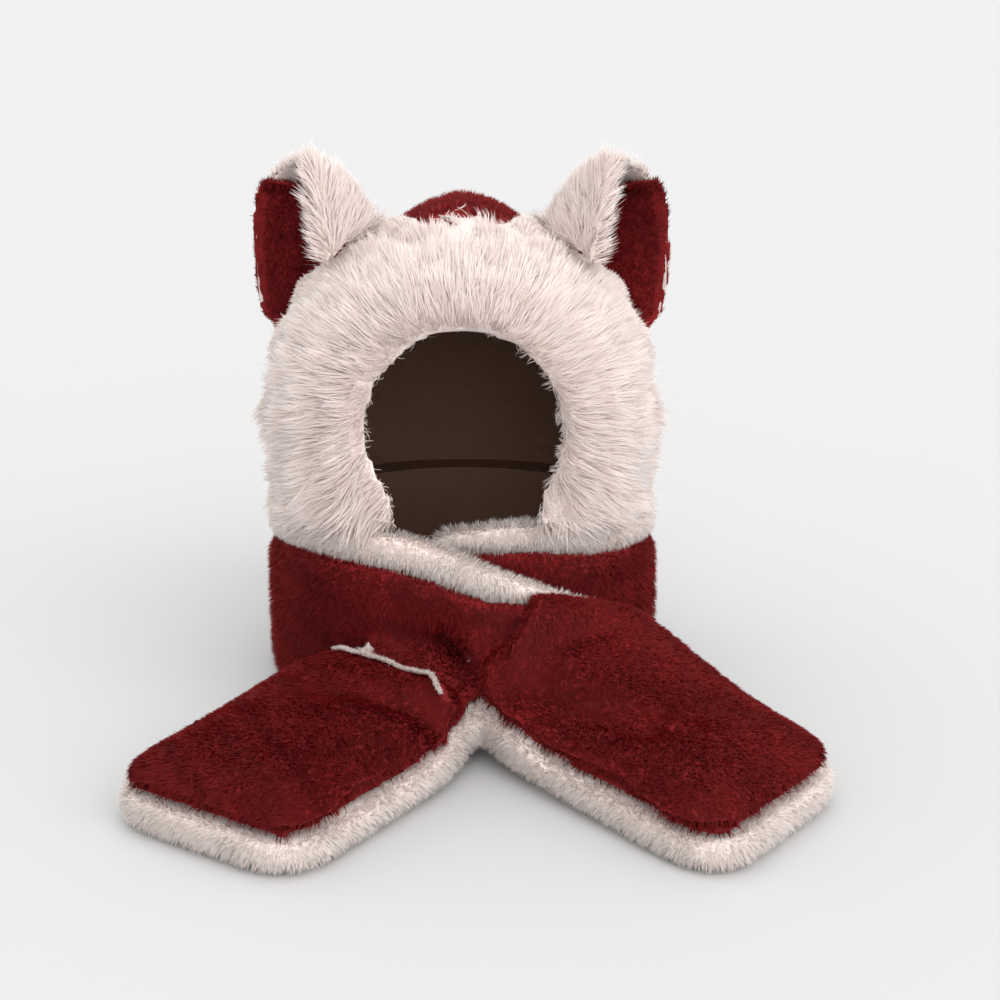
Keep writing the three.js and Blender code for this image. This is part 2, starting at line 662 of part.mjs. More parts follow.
const band = join([overEnvelope, underEnvelope]);
const atBack = (stations) => stations.filter((station) => station.centre.y > NECK_LINING_FRONT_Y);
const neckHalves = (outline) =>
  stripSolid(atBack(over), outline, 1).add(stripSolid(atBack(under), outline, -1));
const neckLap = neckHalves(neckLapOutline).intersect(hoodSolid(LINING_THICKNESS, LINING_SIDES));

// Ears stand on the filled outline of the hood and its ruff
const ruffNudges = [[0, 0, 0], [GAP, 0, 0], [-GAP, 0, 0], [0, 2 * GAP, 0], [0, 0, GAP]];
const filledRuff = ruffSolid();
const earSeat = join([
  hoodSolid(crownOuter + GAP, CROWN_SIDES, CROWN_RIDGE_HEIGHT),
  ...ruffNudges.map((nudge) => filledRuff.translate(nudge)),
]);
const earCups = [1, -1].map((side) => earSolid(EAR_STATIONS, side, earCup).subtract(earSeat));
const earInners = [1, -1].map((side) =>
  earSolid(EAR_STATIONS.slice(0, -2), side, earPlush).subtract(earSeat),
);

// Ruff over the front of the crown, open at the face
const faceRuff = filledRuff
  .subtract(hoodSolid(crownOuter + GAP, CROWN_SIDES, CROWN_RIDGE_HEIGHT))
  .subtract(opening)
  .subtract(neckSpace)
  .subtract(band);

const shell = (solid) => solid.subtract(wideOpening).subtract(neckSpace).subtract(band);
const pieces = [
  { name: 'hood_crown', solid: shell(hoodCrown), color: RED, roughness: 0.9 },
  {
    name: 'hood_lining',
    solid: join([shell(hoodLining), neckLap, neckHalves(neckLiningOutline).subtract(band)]),
    color: BROWN,
    roughness: 0.95,
  },
  { name: 'face_ruff', solid: faceRuff, color: CREAM, roughness: 0.95 },
  { name: 'left_ear', solid: earCups[0], color: CREAM, roughness: 0.95 },
  { name: 'right_ear', solid: earCups[1], color: CREAM, roughness: 0.95 },
  { name: 'left_ear_inner', solid: earInners[0], color: RED, roughness: 0.9 },
  { name: 'right_ear_inner', solid: earInners[1], color: RED, roughness: 0.9 },
  { name: 'scarf_outer', solid: scarfOuter, color: RED, roughness: 0.9 },
  { name: 'scarf_lining', solid: scarfLining, color: CREAM, roughness: 0.95 },
  { name: 'left_pocket', solid: leftPocket, color: RED, roughness: 0.9 },
  { name: 'right_pocket', solid: rightPocket, color: RED, roughness: 0.9 },
];

const scarf = new THREE.Group();
for (const { name, solid, color, roughness } of pieces) {
  const mesh = new THREE.Mesh(
    solidGeometry(solid),
    new THREE.MeshStandardMaterial({ color, roughness, metalness: 0 }),
  );
  mesh.name = name;
  scarf.add(mesh);
}

// The origin is the middle of the whole outline on the floor
const box = new THREE.Box3().setFromObject(scarf);
scarf.position.set(-(box.min.x + box.max.x) / 2, -(box.min.y + box.max.y) / 2, -box.min.z);

export default scarf;
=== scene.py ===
"""Looks of the hooded scarf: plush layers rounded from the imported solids, with modelled fur.

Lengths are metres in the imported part's frame. +Z is up, the face opening looks along -Y and +X is
the viewer's right.
"""

from __future__ import annotations

import json
import logging
import math
import sys
from dataclasses import dataclass
from enum import Enum
from typing import Callable, Optional

import bpy
import numpy as np
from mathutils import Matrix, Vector
from mathutils.bvhtree import BVHTree
from mathutils.kdtree import KDTree

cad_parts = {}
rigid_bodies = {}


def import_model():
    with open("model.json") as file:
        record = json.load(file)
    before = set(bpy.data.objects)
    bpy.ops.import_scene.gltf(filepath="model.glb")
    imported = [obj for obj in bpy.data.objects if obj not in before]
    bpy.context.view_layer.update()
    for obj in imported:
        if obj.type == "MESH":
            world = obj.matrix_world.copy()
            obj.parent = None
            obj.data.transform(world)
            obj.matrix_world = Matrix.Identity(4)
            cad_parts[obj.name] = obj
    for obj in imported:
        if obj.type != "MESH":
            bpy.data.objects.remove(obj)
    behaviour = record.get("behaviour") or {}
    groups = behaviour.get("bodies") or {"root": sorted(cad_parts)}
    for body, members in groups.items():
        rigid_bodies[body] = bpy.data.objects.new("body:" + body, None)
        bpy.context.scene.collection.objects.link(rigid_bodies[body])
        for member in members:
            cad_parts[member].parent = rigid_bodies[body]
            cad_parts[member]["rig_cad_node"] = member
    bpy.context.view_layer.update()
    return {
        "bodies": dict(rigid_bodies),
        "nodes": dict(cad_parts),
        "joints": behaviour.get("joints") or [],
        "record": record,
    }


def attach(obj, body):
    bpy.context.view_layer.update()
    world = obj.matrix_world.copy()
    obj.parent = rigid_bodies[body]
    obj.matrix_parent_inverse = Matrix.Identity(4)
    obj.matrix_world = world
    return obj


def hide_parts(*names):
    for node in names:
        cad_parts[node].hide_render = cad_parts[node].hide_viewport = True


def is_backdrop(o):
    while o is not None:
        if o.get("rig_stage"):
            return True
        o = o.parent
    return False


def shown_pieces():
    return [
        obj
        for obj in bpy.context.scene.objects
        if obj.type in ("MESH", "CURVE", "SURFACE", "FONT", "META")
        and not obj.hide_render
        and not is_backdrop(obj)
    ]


Array = np.ndarray
Comb = Callable[[Array, Array], Array]
Shares = tuple[Array, Array]
Reach = Callable[[Array, Array], Shares]
Chance = np.random.Generator
Line = tuple[tuple[float, float], ...]
Object = bpy.types.Object
Mesh = bpy.types.Mesh
Material = bpy.types.Material
Node = bpy.types.Node
Socket = bpy.types.NodeSocket
Tree = bpy.types.NodeTree

LOG = logging.getLogger("hooded_scarf")
MM = 0.001
UP = np.array([0.0, 0.0, 1.0])
BACK = np.array([0.0, 1.0, 0.0])
ACROSS_FACE = np.array([1.0, 0.0, 1.0])
LEVEL = np.array([1.0, 1.0, 0.0])

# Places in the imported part's frame
HOOD_AXIS = np.array([-0.015, 0.101, 0.205])
FACE_CENTRE = np.array([-0.011, -0.069, 0.200])
CROSSING = np.array([-0.005, -0.005, 0.0])
EAR_CENTRES = {-1: np.array([-0.133, 0.0757, 0.30]), 1: np.array([0.103, 0.0757, 0.30])}
FLOOR_CLEARANCE = 0.4 * MM
# The ruff's thin lower left corner, beside the lip that goes over it.
THIN_SPOT = np.array([-0.0675, -0.023, 0.158])
THIN_SPREAD = 0.022

# Lines on the scarf seen from above: the pockets' mouths and the valleys of their padding
LEFT_MOUTH: Line = (
    (-0.0925, -0.0430), (-0.0787, -0.0543), (-0.0555, -0.0669), (-0.0319, -0.0773), (-0.0215, -0.0950)
)
BESIDE_LEFT_MOUTH: Line = (
    (-0.0879, -0.0353), (-0.0741, -0.0466), (-0.0509, -0.0592), (-0.0273, -0.0696), (-0.0169, -0.0873)
)
RIGHT_MOUTH: Line = ((0.002, -0.062), (0.016, -0.063), (0.030, -0.050), (0.060, -0.028), (0.100, -0.008))
LEFT_VALLEY: Line = ((-0.0994, -0.0971), (-0.0687, -0.1068), (-0.0344, -0.1131))
RIGHT_VALLEY: Line = ((0.0247, -0.0799), (0.0612, -0.1163), (0.0997, -0.1398))

# Places along Y between which the ruff and the crown change
RUFF_BEHIND = (0.015, 0.03)
RUFF_TOP_SHORT = (0.03, 0.075)
RUFF_TOP_LIES = (0.05, 0.08)
RUFF_BACK_EDGE = (0.06, 0.078)
CROWN_SHOWS = (0.060, 0.085)
# Distances from the face's middle between which the ruff's nap turns back
RUFF_TURNS = (0.070, 0.120)
# Where the tails and the neck band begin and end
TAIL_HEIGHT = (0.05, 0.10)
TAIL_FRONT = 0.02
BAND_HEIGHT = 0.10
BAND_FRONT = -0.01
GROOVE_TOP = 0.085

# Camera at the photograph's viewing angle
CAMERA_PLACE = (0.0120, -1.1493, 0.500)
CAMERA_TILT = 16.8
CAMERA_LENS = 65.2


# Small helpers
def unit(vectors: Array) -> Array:
    """Vectors at length one."""
    return vectors / np.maximum(np.linalg.norm(vectors, axis=-1, keepdims=True), 1e-9)


def smooth_step(low: float, high: float, x: Array) -> Array:
    """Share from 0 at low to 1 at high, with soft ends."""
    k = np.clip((x - low) / (high - low), 0.0, 1.0)
    return k * k * (3.0 - 2.0 * k)


def along_skin(vectors: Array, normals: Array) -> Array:
    """Directions laid into the surface with these normals."""
    return unit(vectors - normals * np.sum(vectors * normals, axis=1, keepdims=True))


def swirl(points: Array, wavelength: float, seed: int) -> Array:
    """Slow noise, a vector of about unit size for each point.

    Args:
        points: places, one a row.
        wavelength: size of the patches.
        seed: picks the pattern.

    Returns:
        One vector a row.
    """
    rng = np.random.default_rng(seed)
    total = np.zeros_like(points)
    for octave in range(3):
        waves = rng.normal(size=(3, 3)) * (2.0**octave) * 2.0 * math.pi / wavelength
        phase = rng.uniform(0, 2 * math.pi, size=3)
        total += np.sin(points @ waves.T + phase) / (1.4**octave)
    return total / 1.6


def linear(hex_colour: str) -> tuple[float, float, float, float]:
    """A colour written as sRGB hex, such as "#7A1F20", in linear light with its alpha."""
    parts = [int(hex_colour[i : i + 2], 16) / 255 for i in (1, 3, 5)]
    return (*[p / 12.92 if p <= 0.04045 else ((p + 0.055) / 1.055) ** 2.4 for p in parts], 1.0)


def add_node(
    tree: Tree,
    kind: str,
    inputs: dict[object, object],
    settings: Optional[dict[str, object]] = None,
) -> Node:
    """Adds a node, sets its properties, and sets or links its inputs.

    Args:
        tree: the node tree it goes into.
        kind: the node's type name after ShaderNode.
        inputs: a value or an output socket for each input name or index.
        settings: properties by name.

    Returns:
        The new node.
    """
    node = tree.nodes.new(f"ShaderNode{kind}")
    for name, value in (settings or {}).items():
        setattr(node, name, value)
    for key, value in inputs.items():
        if isinstance(value, Socket):
            tree.links.new(value, node.inputs[key])
        else:
            node.inputs[key].default_value = value
    return node


def new_material(name: str) -> Material:
    """An empty node material."""
    material = bpy.data.materials.new(name)
    material.use_nodes = True
    material.node_tree.nodes.clear()
    return material


def colour_ramp(tree: Tree, factor: Socket, stops: list[tuple[float, str]]) -> Socket:
    """A colour ramp over a factor.

    Args:
        tree: the node tree it goes into.
        factor: the socket that it reads.
        stops: place and sRGB hex colour of each stop.

    Returns:
        The ramp's colour socket.
    """
    node = add_node(tree, "ValToRGB", {"Fac": factor})
    elements = node.color_ramp.elements
    while len(elements) < len(stops):
        elements.new(1.0)
    for element, (place, colour) in zip(elements, stops):
        element.position = place
        element.color = linear(colour)
    return node.outputs["Color"]


def mixed_colour(tree: Tree, factor: object, first: object, second: object, blend: str = "MIX") -> Socket:
    """The first colour mixed with a share, factor, of the second one."""
    settings = {"data_type": "RGBA", "blend_type": blend}
    return add_node(tree, "Mix", {0: factor, 6: first, 7: second}, settings).outputs[2]


def object_place(tree: Tree) -> Socket:
    """Places in the object's own space."""
    return add_node(tree, "TexCoord", {}).outputs["Object"]


def noise(tree: Tree, size: float, roughness: float) -> Socket:
    """Noise in the object's own space with spots of about this size."""
    inputs = {"Vector": object_place(tree), "Scale": 1 / size, "Detail": 3.0, "Roughness": roughness}
    return add_node(tree, "TexNoise", inputs).outputs["Fac"]


def bumped(tree: Tree, height: Socket, strength: float, distance: float) -> Socket:
    """Normals bumped by a height."""
    inputs = {"Strength": strength, "Distance": distance, "Height": height}
    return add_node(tree, "Bump", inputs).outputs["Normal"]


def principled(tree: Tree, inputs: dict[object, object]) -> Socket:
    """A principled surface with these inputs."""
    return add_node(tree, "BsdfPrincipled", inputs).outputs["BSDF"]


def show(tree: Tree, surface: Socket) -> None:
    """Sends a surface to the material's output."""
    add_node(tree, "OutputMaterial", {"Surface": surface})


# Finishes
@dataclass(frozen=True)
class PileFinish:
    """Backing of a plush: dense short pile seen from above, with painted shade between the hairs."""

    name: str
    # painted shade between the hair ends
    shade: str
    middle: str
    light: str
    patch: float = 45 * MM
    grain: float = 1.4 * MM
    roughness: float = 0.9
    sheen: float = 0.35
    bump: float = 0.5

    def material(self) -> Material:
        """Sheared pile on its backing: a fine grain of hair ends with painted shade between them, and
        slow lighter and darker patches of painted sheen where the nap is brushed.

        Returns:
            The material.
        """
        material = new_material(self.name)
        tree = material.node_tree
        grain = noise(tree, self.grain, 0.6)
        patch = noise(tree, self.patch, 0.5)
        # painted shade: the grain's low spots, which the bump also sets deepest, take the shade colour
        hairs = colour_ramp(tree, grain, [(0.32, self.shade), (0.5, self.middle), (0.7, self.light)])
        # painted sheen and shade of the brushed nap, in slow lighter and darker patches
        brushed = colour_ramp(tree, patch, [(0.35, "#8C8C8C"), (0.65, "#FFFFFF")])
        look = {
            "Base Color": mixed_colour(tree, 0.55, hairs, brushed, "MULTIPLY"),
            "Roughness": self.roughness,
            "Sheen Weight": self.sheen,
            "Sheen Roughness": 0.5,
            "Sheen Tint": linear(self.light),
            "Specular IOR Level": 0.2,
            "Normal": bumped(tree, grain, self.bump, 1.0 * MM),
        }
        show(tree, principled(tree, look))
        return material


@dataclass(frozen=True)
class HairFinish:
    """Hairs of a plush: painted shade darkens them at the root, they are lighter at the tip, and some
    light goes through them.
    """

    name: str
    # painted shade at the root, where the hairs crowd together
    root: str
    body: str
    tip: str
    # darker copy, for hairs of darker random tone and for the shaded side of the painted sheen patches
    dark_tone_and_shade_body: str
    dark_tone_and_shade_tip: str
    roughness: float = 0.55
    sheen: float = 0.2
    glow: float = 0.25

    def material(self) -> Material:
        """Drawn synthetic hairs, coloured along their length with painted shade at the root, and from one
        hair to the next by a random tone mixed with slow patches of painted sheen.

        Returns:
            The material.
        """
        material = new_material(self.name)
        tree = material.node_tree
        place = add_node(tree, "UVMap", {}, {"uv_map": "OFBake"}).outputs["UV"]
        split = add_node(tree, "SeparateXYZ", {"Vector": place})
        # X is each hair's tone: random tone mixed with slow patches of painted sheen; Y runs from root to
        # tip
        tuft, along = split.outputs["X"], split.outputs["Y"]
        # painted shade at the root, lighter towards the tip
        light = colour_ramp(tree, along, [(0.0, self.root), (0.45, self.body), (1.0, self.tip)])
        dark = colour_ramp(tree, along, [(0.0, self.root), (0.5, self.dark_tone_and_shade_body), (1.0, self.dark_tone_and_shade_tip)])
        colour = mixed_colour(tree, tuft, dark, light)
        look = {
            "Base Color": colour,
            "Roughness": self.roughness,
            "Specular IOR Level": 0.15,
            "Sheen Weight": self.sheen,
            "Sheen Roughness": 0.4,
            "Sheen Tint": linear(self.tip),
        }
        through = add_node(tree, "BsdfTranslucent", {"Color": colour}).outputs["BSDF"]
        mix = add_node(tree, "MixShader", {0: self.glow, 1: principled(tree, look), 2: through})
        show(tree, mix.outputs["Shader"])
        return material


@dataclass(frozen=True)
class KnitFinish:
    """Matte lining knitted of fine dark yarn."""

    name: str
    colour: str
    loop: float = 1.2 * MM

    def material(self) -> Material:
        """Fine ribs of the knit as bump, with painted shade darkening the yarn in the hollows between the
        ribs.

        Returns:
            The material.
        """
        material = new_material(self.name)
        tree = material.node_tree
        ribs = add_node(
            tree,
            "TexWave",
            {"Vector": object_place(tree), "Scale": 0.25 / self.loop, "Distortion": 1.5, "Detail": 2.0},
            {"wave_type": "BANDS", "bands_direction": "DIAGONAL"},
        ).outputs["Fac"]
        yarn = linear(self.colour)
        # painted shade: the darker yarn colour goes into the ribs' hollows, where the bump is lowest
        dark = add_node(tree, "HueSaturation", {"Value": 0.8, "Color": yarn}).outputs["Color"]
        look = {
            "Base Color": mixed_colour(tree, ribs, dark, yarn),
            "Roughness": 0.95,
            "Specular IOR Level": 0.1,
            "Normal": bumped(tree, ribs, 0.4, 0.4 * MM),
        }
        show(tree, principled(tree, look))
        return material


class Finish(Enum):
    """Every finish of the scarf."""

    # RED_PILE and CREAM_PILE: the first colour is painted shade between the hair ends
    RED_PILE = PileFinish(
        "red plush backing, dyed and sheared", "#5A0F12", "#781618", "#8A1E1F", sheen=0.6
    )
    # RED_HAIR, CREAM_HAIR and CREAM_PLUSH: the root colour is painted shade, and the last two colours are
    # a darker copy for random tone and for the shaded side of painted sheen patches
    RED_HAIR = HairFinish(
        "red plush pile, dyed and brushed",
        "#580E11", "#781416", "#982624", "#5A0E11", "#701615", 0.7, 0.7, 0.4,
    )
    CREAM_PILE = PileFinish("cream fur backing, knitted", "#DCCDC7", "#E6D9D3", "#F0E6E2", sheen=0.4)
    CREAM_HAIR = HairFinish(
        "cream long fur, drawn synthetic hair",
        "#DFD0CA", "#F1E5E0", "#FCF8F6", "#E6D8D2", "#F6EDE9", 0.5, 0.4, 0.45,
    )
    CREAM_PLUSH = HairFinish(
        "cream plush, short brushed pile",
        "#ECE0DA", "#F6ECE7", "#FEFAF7", "#EDE2DC", "#F5ECE7", 0.6, 0.4, 0.45,
    )
    BROWN_KNIT = KnitFinish("dark brown lining, knitted", "#7C5E4E")


# Meshes and fur
@dataclass(frozen=True)
class Cover:
    """What hides parts of a skin: the other solids of the scarf, close in front of it."""

    tree: BVHTree

    @classmethod
    def of(cls, frame: dict, node: str) -> "Cover":
        """Gathers every solid but one.

        Args:
            frame: the loaded frame.
            node: the CAD node that is left out.

        Returns:
            The cover.
        """
        points: list[Vector] = []
        faces: list[list[int]] = []
        for name, obj in frame["nodes"].items():
            if name != node:
                first = len(points)
                points += [v.co.copy() for v in obj.data.vertices]
                faces += [[first + i for i in p.vertices] for p in obj.data.polygons]
        return cls(BVHTree.FromPolygons(points, faces))

    def open_share(self, points: Array, normals: Array, distance: float) -> Array:
        """One for each point with nothing in front of it within the distance, and zero for the others."""
        hits = [self.tree.ray_cast(Vector(p), Vector(n), distance)[0] for p, n in zip(points, normals)]
        return np.array([hit is None for hit in hits], float)


@dataclass
class Skin:
    """Triangles of a base mesh, for hairs to be planted on."""

    corners: Array
    normals: Array
    open_share: Array

    @classmethod
    def of(cls, obj: Object, cover: Optional[Cover] = None, clear: float = 3 * MM) -> "Skin":
        """Reads an object's triangles and corner normals.

        Args:
            obj: the base mesh, in place.
            cover: the solids that may hide it, if any.
            clear: how far in front of the skin it has to be free.

        Returns:
            The skin.
        """
        mesh = obj.data
        mesh.calc_loop_triangles()
        index = np.empty(3 * len(mesh.loop_triangles), np.int32)
        mesh.loop_triangles.foreach_get("vertices", index)
        index = index.reshape(-1, 3)
        corners, directions = read_points(mesh)[index], read_normals(mesh)[index]
        middle, facing = corners.mean(axis=1), unit(directions.mean(axis=1))
        share = cover.open_share(middle, facing, clear) if cover else np.ones(len(middle))
        return cls(corners, directions, share)

    def plant(self, count: int, reach: Reach, rng: Chance) -> tuple[Array, Array, Array]:
        """Roots spread over the skin, as dense as reach says.

        Args:
            count: how many roots.
            reach: gives density and length shares for points and normals.
            rng: the source of chance.

        Returns:
            Roots, their normals and the length share of each.
        """
        edges = self.corners[:, 1:] - self.corners[:, :1]
        area = 0.5 * np.linalg.norm(np.cross(edges[:, 0], edges[:, 1]), axis=1)
        density, _ = reach(self.corners.mean(axis=1), unit(self.normals.mean(axis=1)))
        weight = area * density * self.open_share
        picked = np.searchsorted(np.cumsum(weight) / weight.sum(), rng.random(count))
        picked = np.minimum(picked, len(area) - 1)
        u, v = rng.random((2, count))
        flip = u + v > 1
        u[flip], v[flip] = 1 - u[flip], 1 - v[flip]
        share = np.stack([1 - u - v, u, v], axis=1)[:, :, None]
        roots = (self.corners[picked] * share).sum(axis=1)
        normals = unit((self.normals[picked] * share).sum(axis=1))
        return roots, normals, reach(roots, normals)[1]


def read_points(mesh: Mesh) -> Array:
    """A mesh's vertices, one a row."""
    points = np.empty(3 * len(mesh.vertices))
    mesh.vertices.foreach_get("co", points)
    return points.reshape(-1, 3)


def write_points(mesh: Mesh, points: Array) -> None:
    """Moves a mesh's vertices to these points."""
    mesh.vertices.foreach_set("co", points.ravel())
    mesh.update()


def read_normals(mesh: Mesh) -> Array:
    """A mesh's vertex normals, one a row."""
    normals = np.empty(3 * len(mesh.vertices))
    mesh.vertices.foreach_get("normal", normals)
    return normals.reshape(-1, 3)


def read_edges(mesh: Mesh) -> Array:
    """A mesh's edges as pairs of vertex numbers."""
    edges = np.empty(2 * len(mesh.edges), np.int32)
    mesh.edges.foreach_get("vertices", edges)
    return edges.reshape(-1, 2)


def new_object(name: str, mesh: Mesh, material: Material) -> Object:
    """A mesh object with one material, linked to the scene."""
    obj = bpy.data.objects.new(name, mesh)
    mesh.materials.clear()
    mesh.materials.append(material)
    bpy.context.scene.collection.objects.link(obj)
    return obj


def evaluated(obj: Object) -> Mesh:
    """An object's mesh as its modifiers leave it; they are then taken off."""
    mesh = bpy.data.meshes.new_from_object(obj.evaluated_get(bpy.context.evaluated_depsgraph_get()))
    obj.modifiers.clear()
    return mesh


def smooth_shaded(mesh: Mesh) -> None:
    """Shades every face of a mesh smooth."""
    mesh.polygons.foreach_set("use_smooth", np.ones(len(mesh.polygons), bool))


def tree_of(mesh: Mesh) -> BVHTree:
    """A mesh's faces, ready for rays and nearest places."""
    return BVHTree.FromPolygons([v.co for v in mesh.vertices], [list(p.vertices) for p in mesh.polygons])


def capped(before: Array, after: Array, cap: float) -> Array:
    """Points moved from before towards after, each by no more than the cap."""
    shift = after - before
    far = np.linalg.norm(shift, axis=1, keepdims=True)
    return before + shift * np.minimum(1.0, cap / np.maximum(far, 1e-9))


def relaxed(points: Array, edges: Array, rounds: int) -> Array:
    """Points smoothed along the edges without losing size.

    Args:
        points: vertices, one a row.
        edges: pairs of vertex numbers.
        rounds: how often; each round smooths and swells back.

    Returns:
        The smoothed points.
    """
    count = len(points)
    both = np.concatenate([edges, edges[:, ::-1]])
    valence = np.maximum(np.bincount(both[:, 0], minlength=count), 1)[:, None]
    moved = points.copy()
    for step in [0.55, -0.57] * rounds:
        sums = np.stack([np.bincount(both[:, 0], moved[both[:, 1], k], count) for k in range(3)], axis=1)
        moved += step * (sums / valence - moved)
    return moved


def relaxed_line(line: Array, rounds: int) -> Array:
    """Smooths an open line, with its ends held.

    Args:
        line: its points, one a row.
        rounds: how often each point moves to the middle of its neighbours.

    Returns:
        The smoothed line.
    """
    line = line.copy()
    for _ in range(rounds):
        line[1:-1] = (line[:-2] + 2 * line[1:-1] + line[2:]) / 4
    return line


def across_line(line: Array) -> Array:
    """Unit directions across a line seen from above, one for each of its points."""
    return unit(np.gradient(line, axis=0)[:, ::-1] * (1, -1))


@dataclass(frozen=True)
class Dent:
    """A soft valley in the top of a layer along a line seen from above; a ridge if depth is negative."""

    line: Line
    depth: float
    spread: float
    below: float = 1.0

    def press(self, points: Array, normals: Array) -> Array:
        """Lowers the points near the line.

        Args:
            points: places, one a row.
            normals: their normals.

        Returns:
            The points with the valley in them.
        """
        near = np.exp(-((near_line(points[:, :2], self.line) / self.spread) ** 2))
        top = smooth_step(0.0, 0.4, normals[:, 2]) * (points[:, 2] < self.below)
        return points - (self.depth * top * near)[:, None] * UP


@dataclass
class SoftLayer:
    """A plush layer rounded from its solid, set back by the depth of its pile."""

    node: str
    finish: Finish
    slot: str
    voxel: float = 3.5 * MM
    rounds: int = 8
    inset: float = 2.0 * MM
    cap: float = 8 * MM
    depth: Optional[Comb] = None
    dents: tuple[Dent, ...] = ()

    def build(self, frame: dict) -> Object:
        """Builds the rounded mesh and lets it stand for its CAD node.

        Args:
            frame: the loaded frame.

        Returns:
            The new object.
        """
        source = frame["nodes"][self.node].data.copy()
        obj = new_object(f"{self.node}_base", source, self.finish.value.material())
        remesh = obj.modifiers.new("remesh", "REMESH")
        remesh.mode = "VOXEL"
        remesh.voxel_size = self.voxel
        mesh = evaluated(obj)
        obj.data = mesh
        points = read_points(mesh)
        moved = capped(points, relaxed(points, read_edges(mesh), self.rounds), self.cap)
        write_points(mesh, moved)
        normals = read_normals(mesh)
        share = 1.0 if self.depth is None else self.depth(moved, normals)[:, None]
        moved -= self.inset * normals * share
        for dent in self.dents:
            moved = dent.press(moved, normals)
        moved[:, 2] = np.maximum(moved[:, 2], FLOOR_CLEARANCE)
        write_points(mesh, moved)
        smooth_shaded(mesh)
        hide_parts(self.node)
        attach(obj, "root")
        return obj


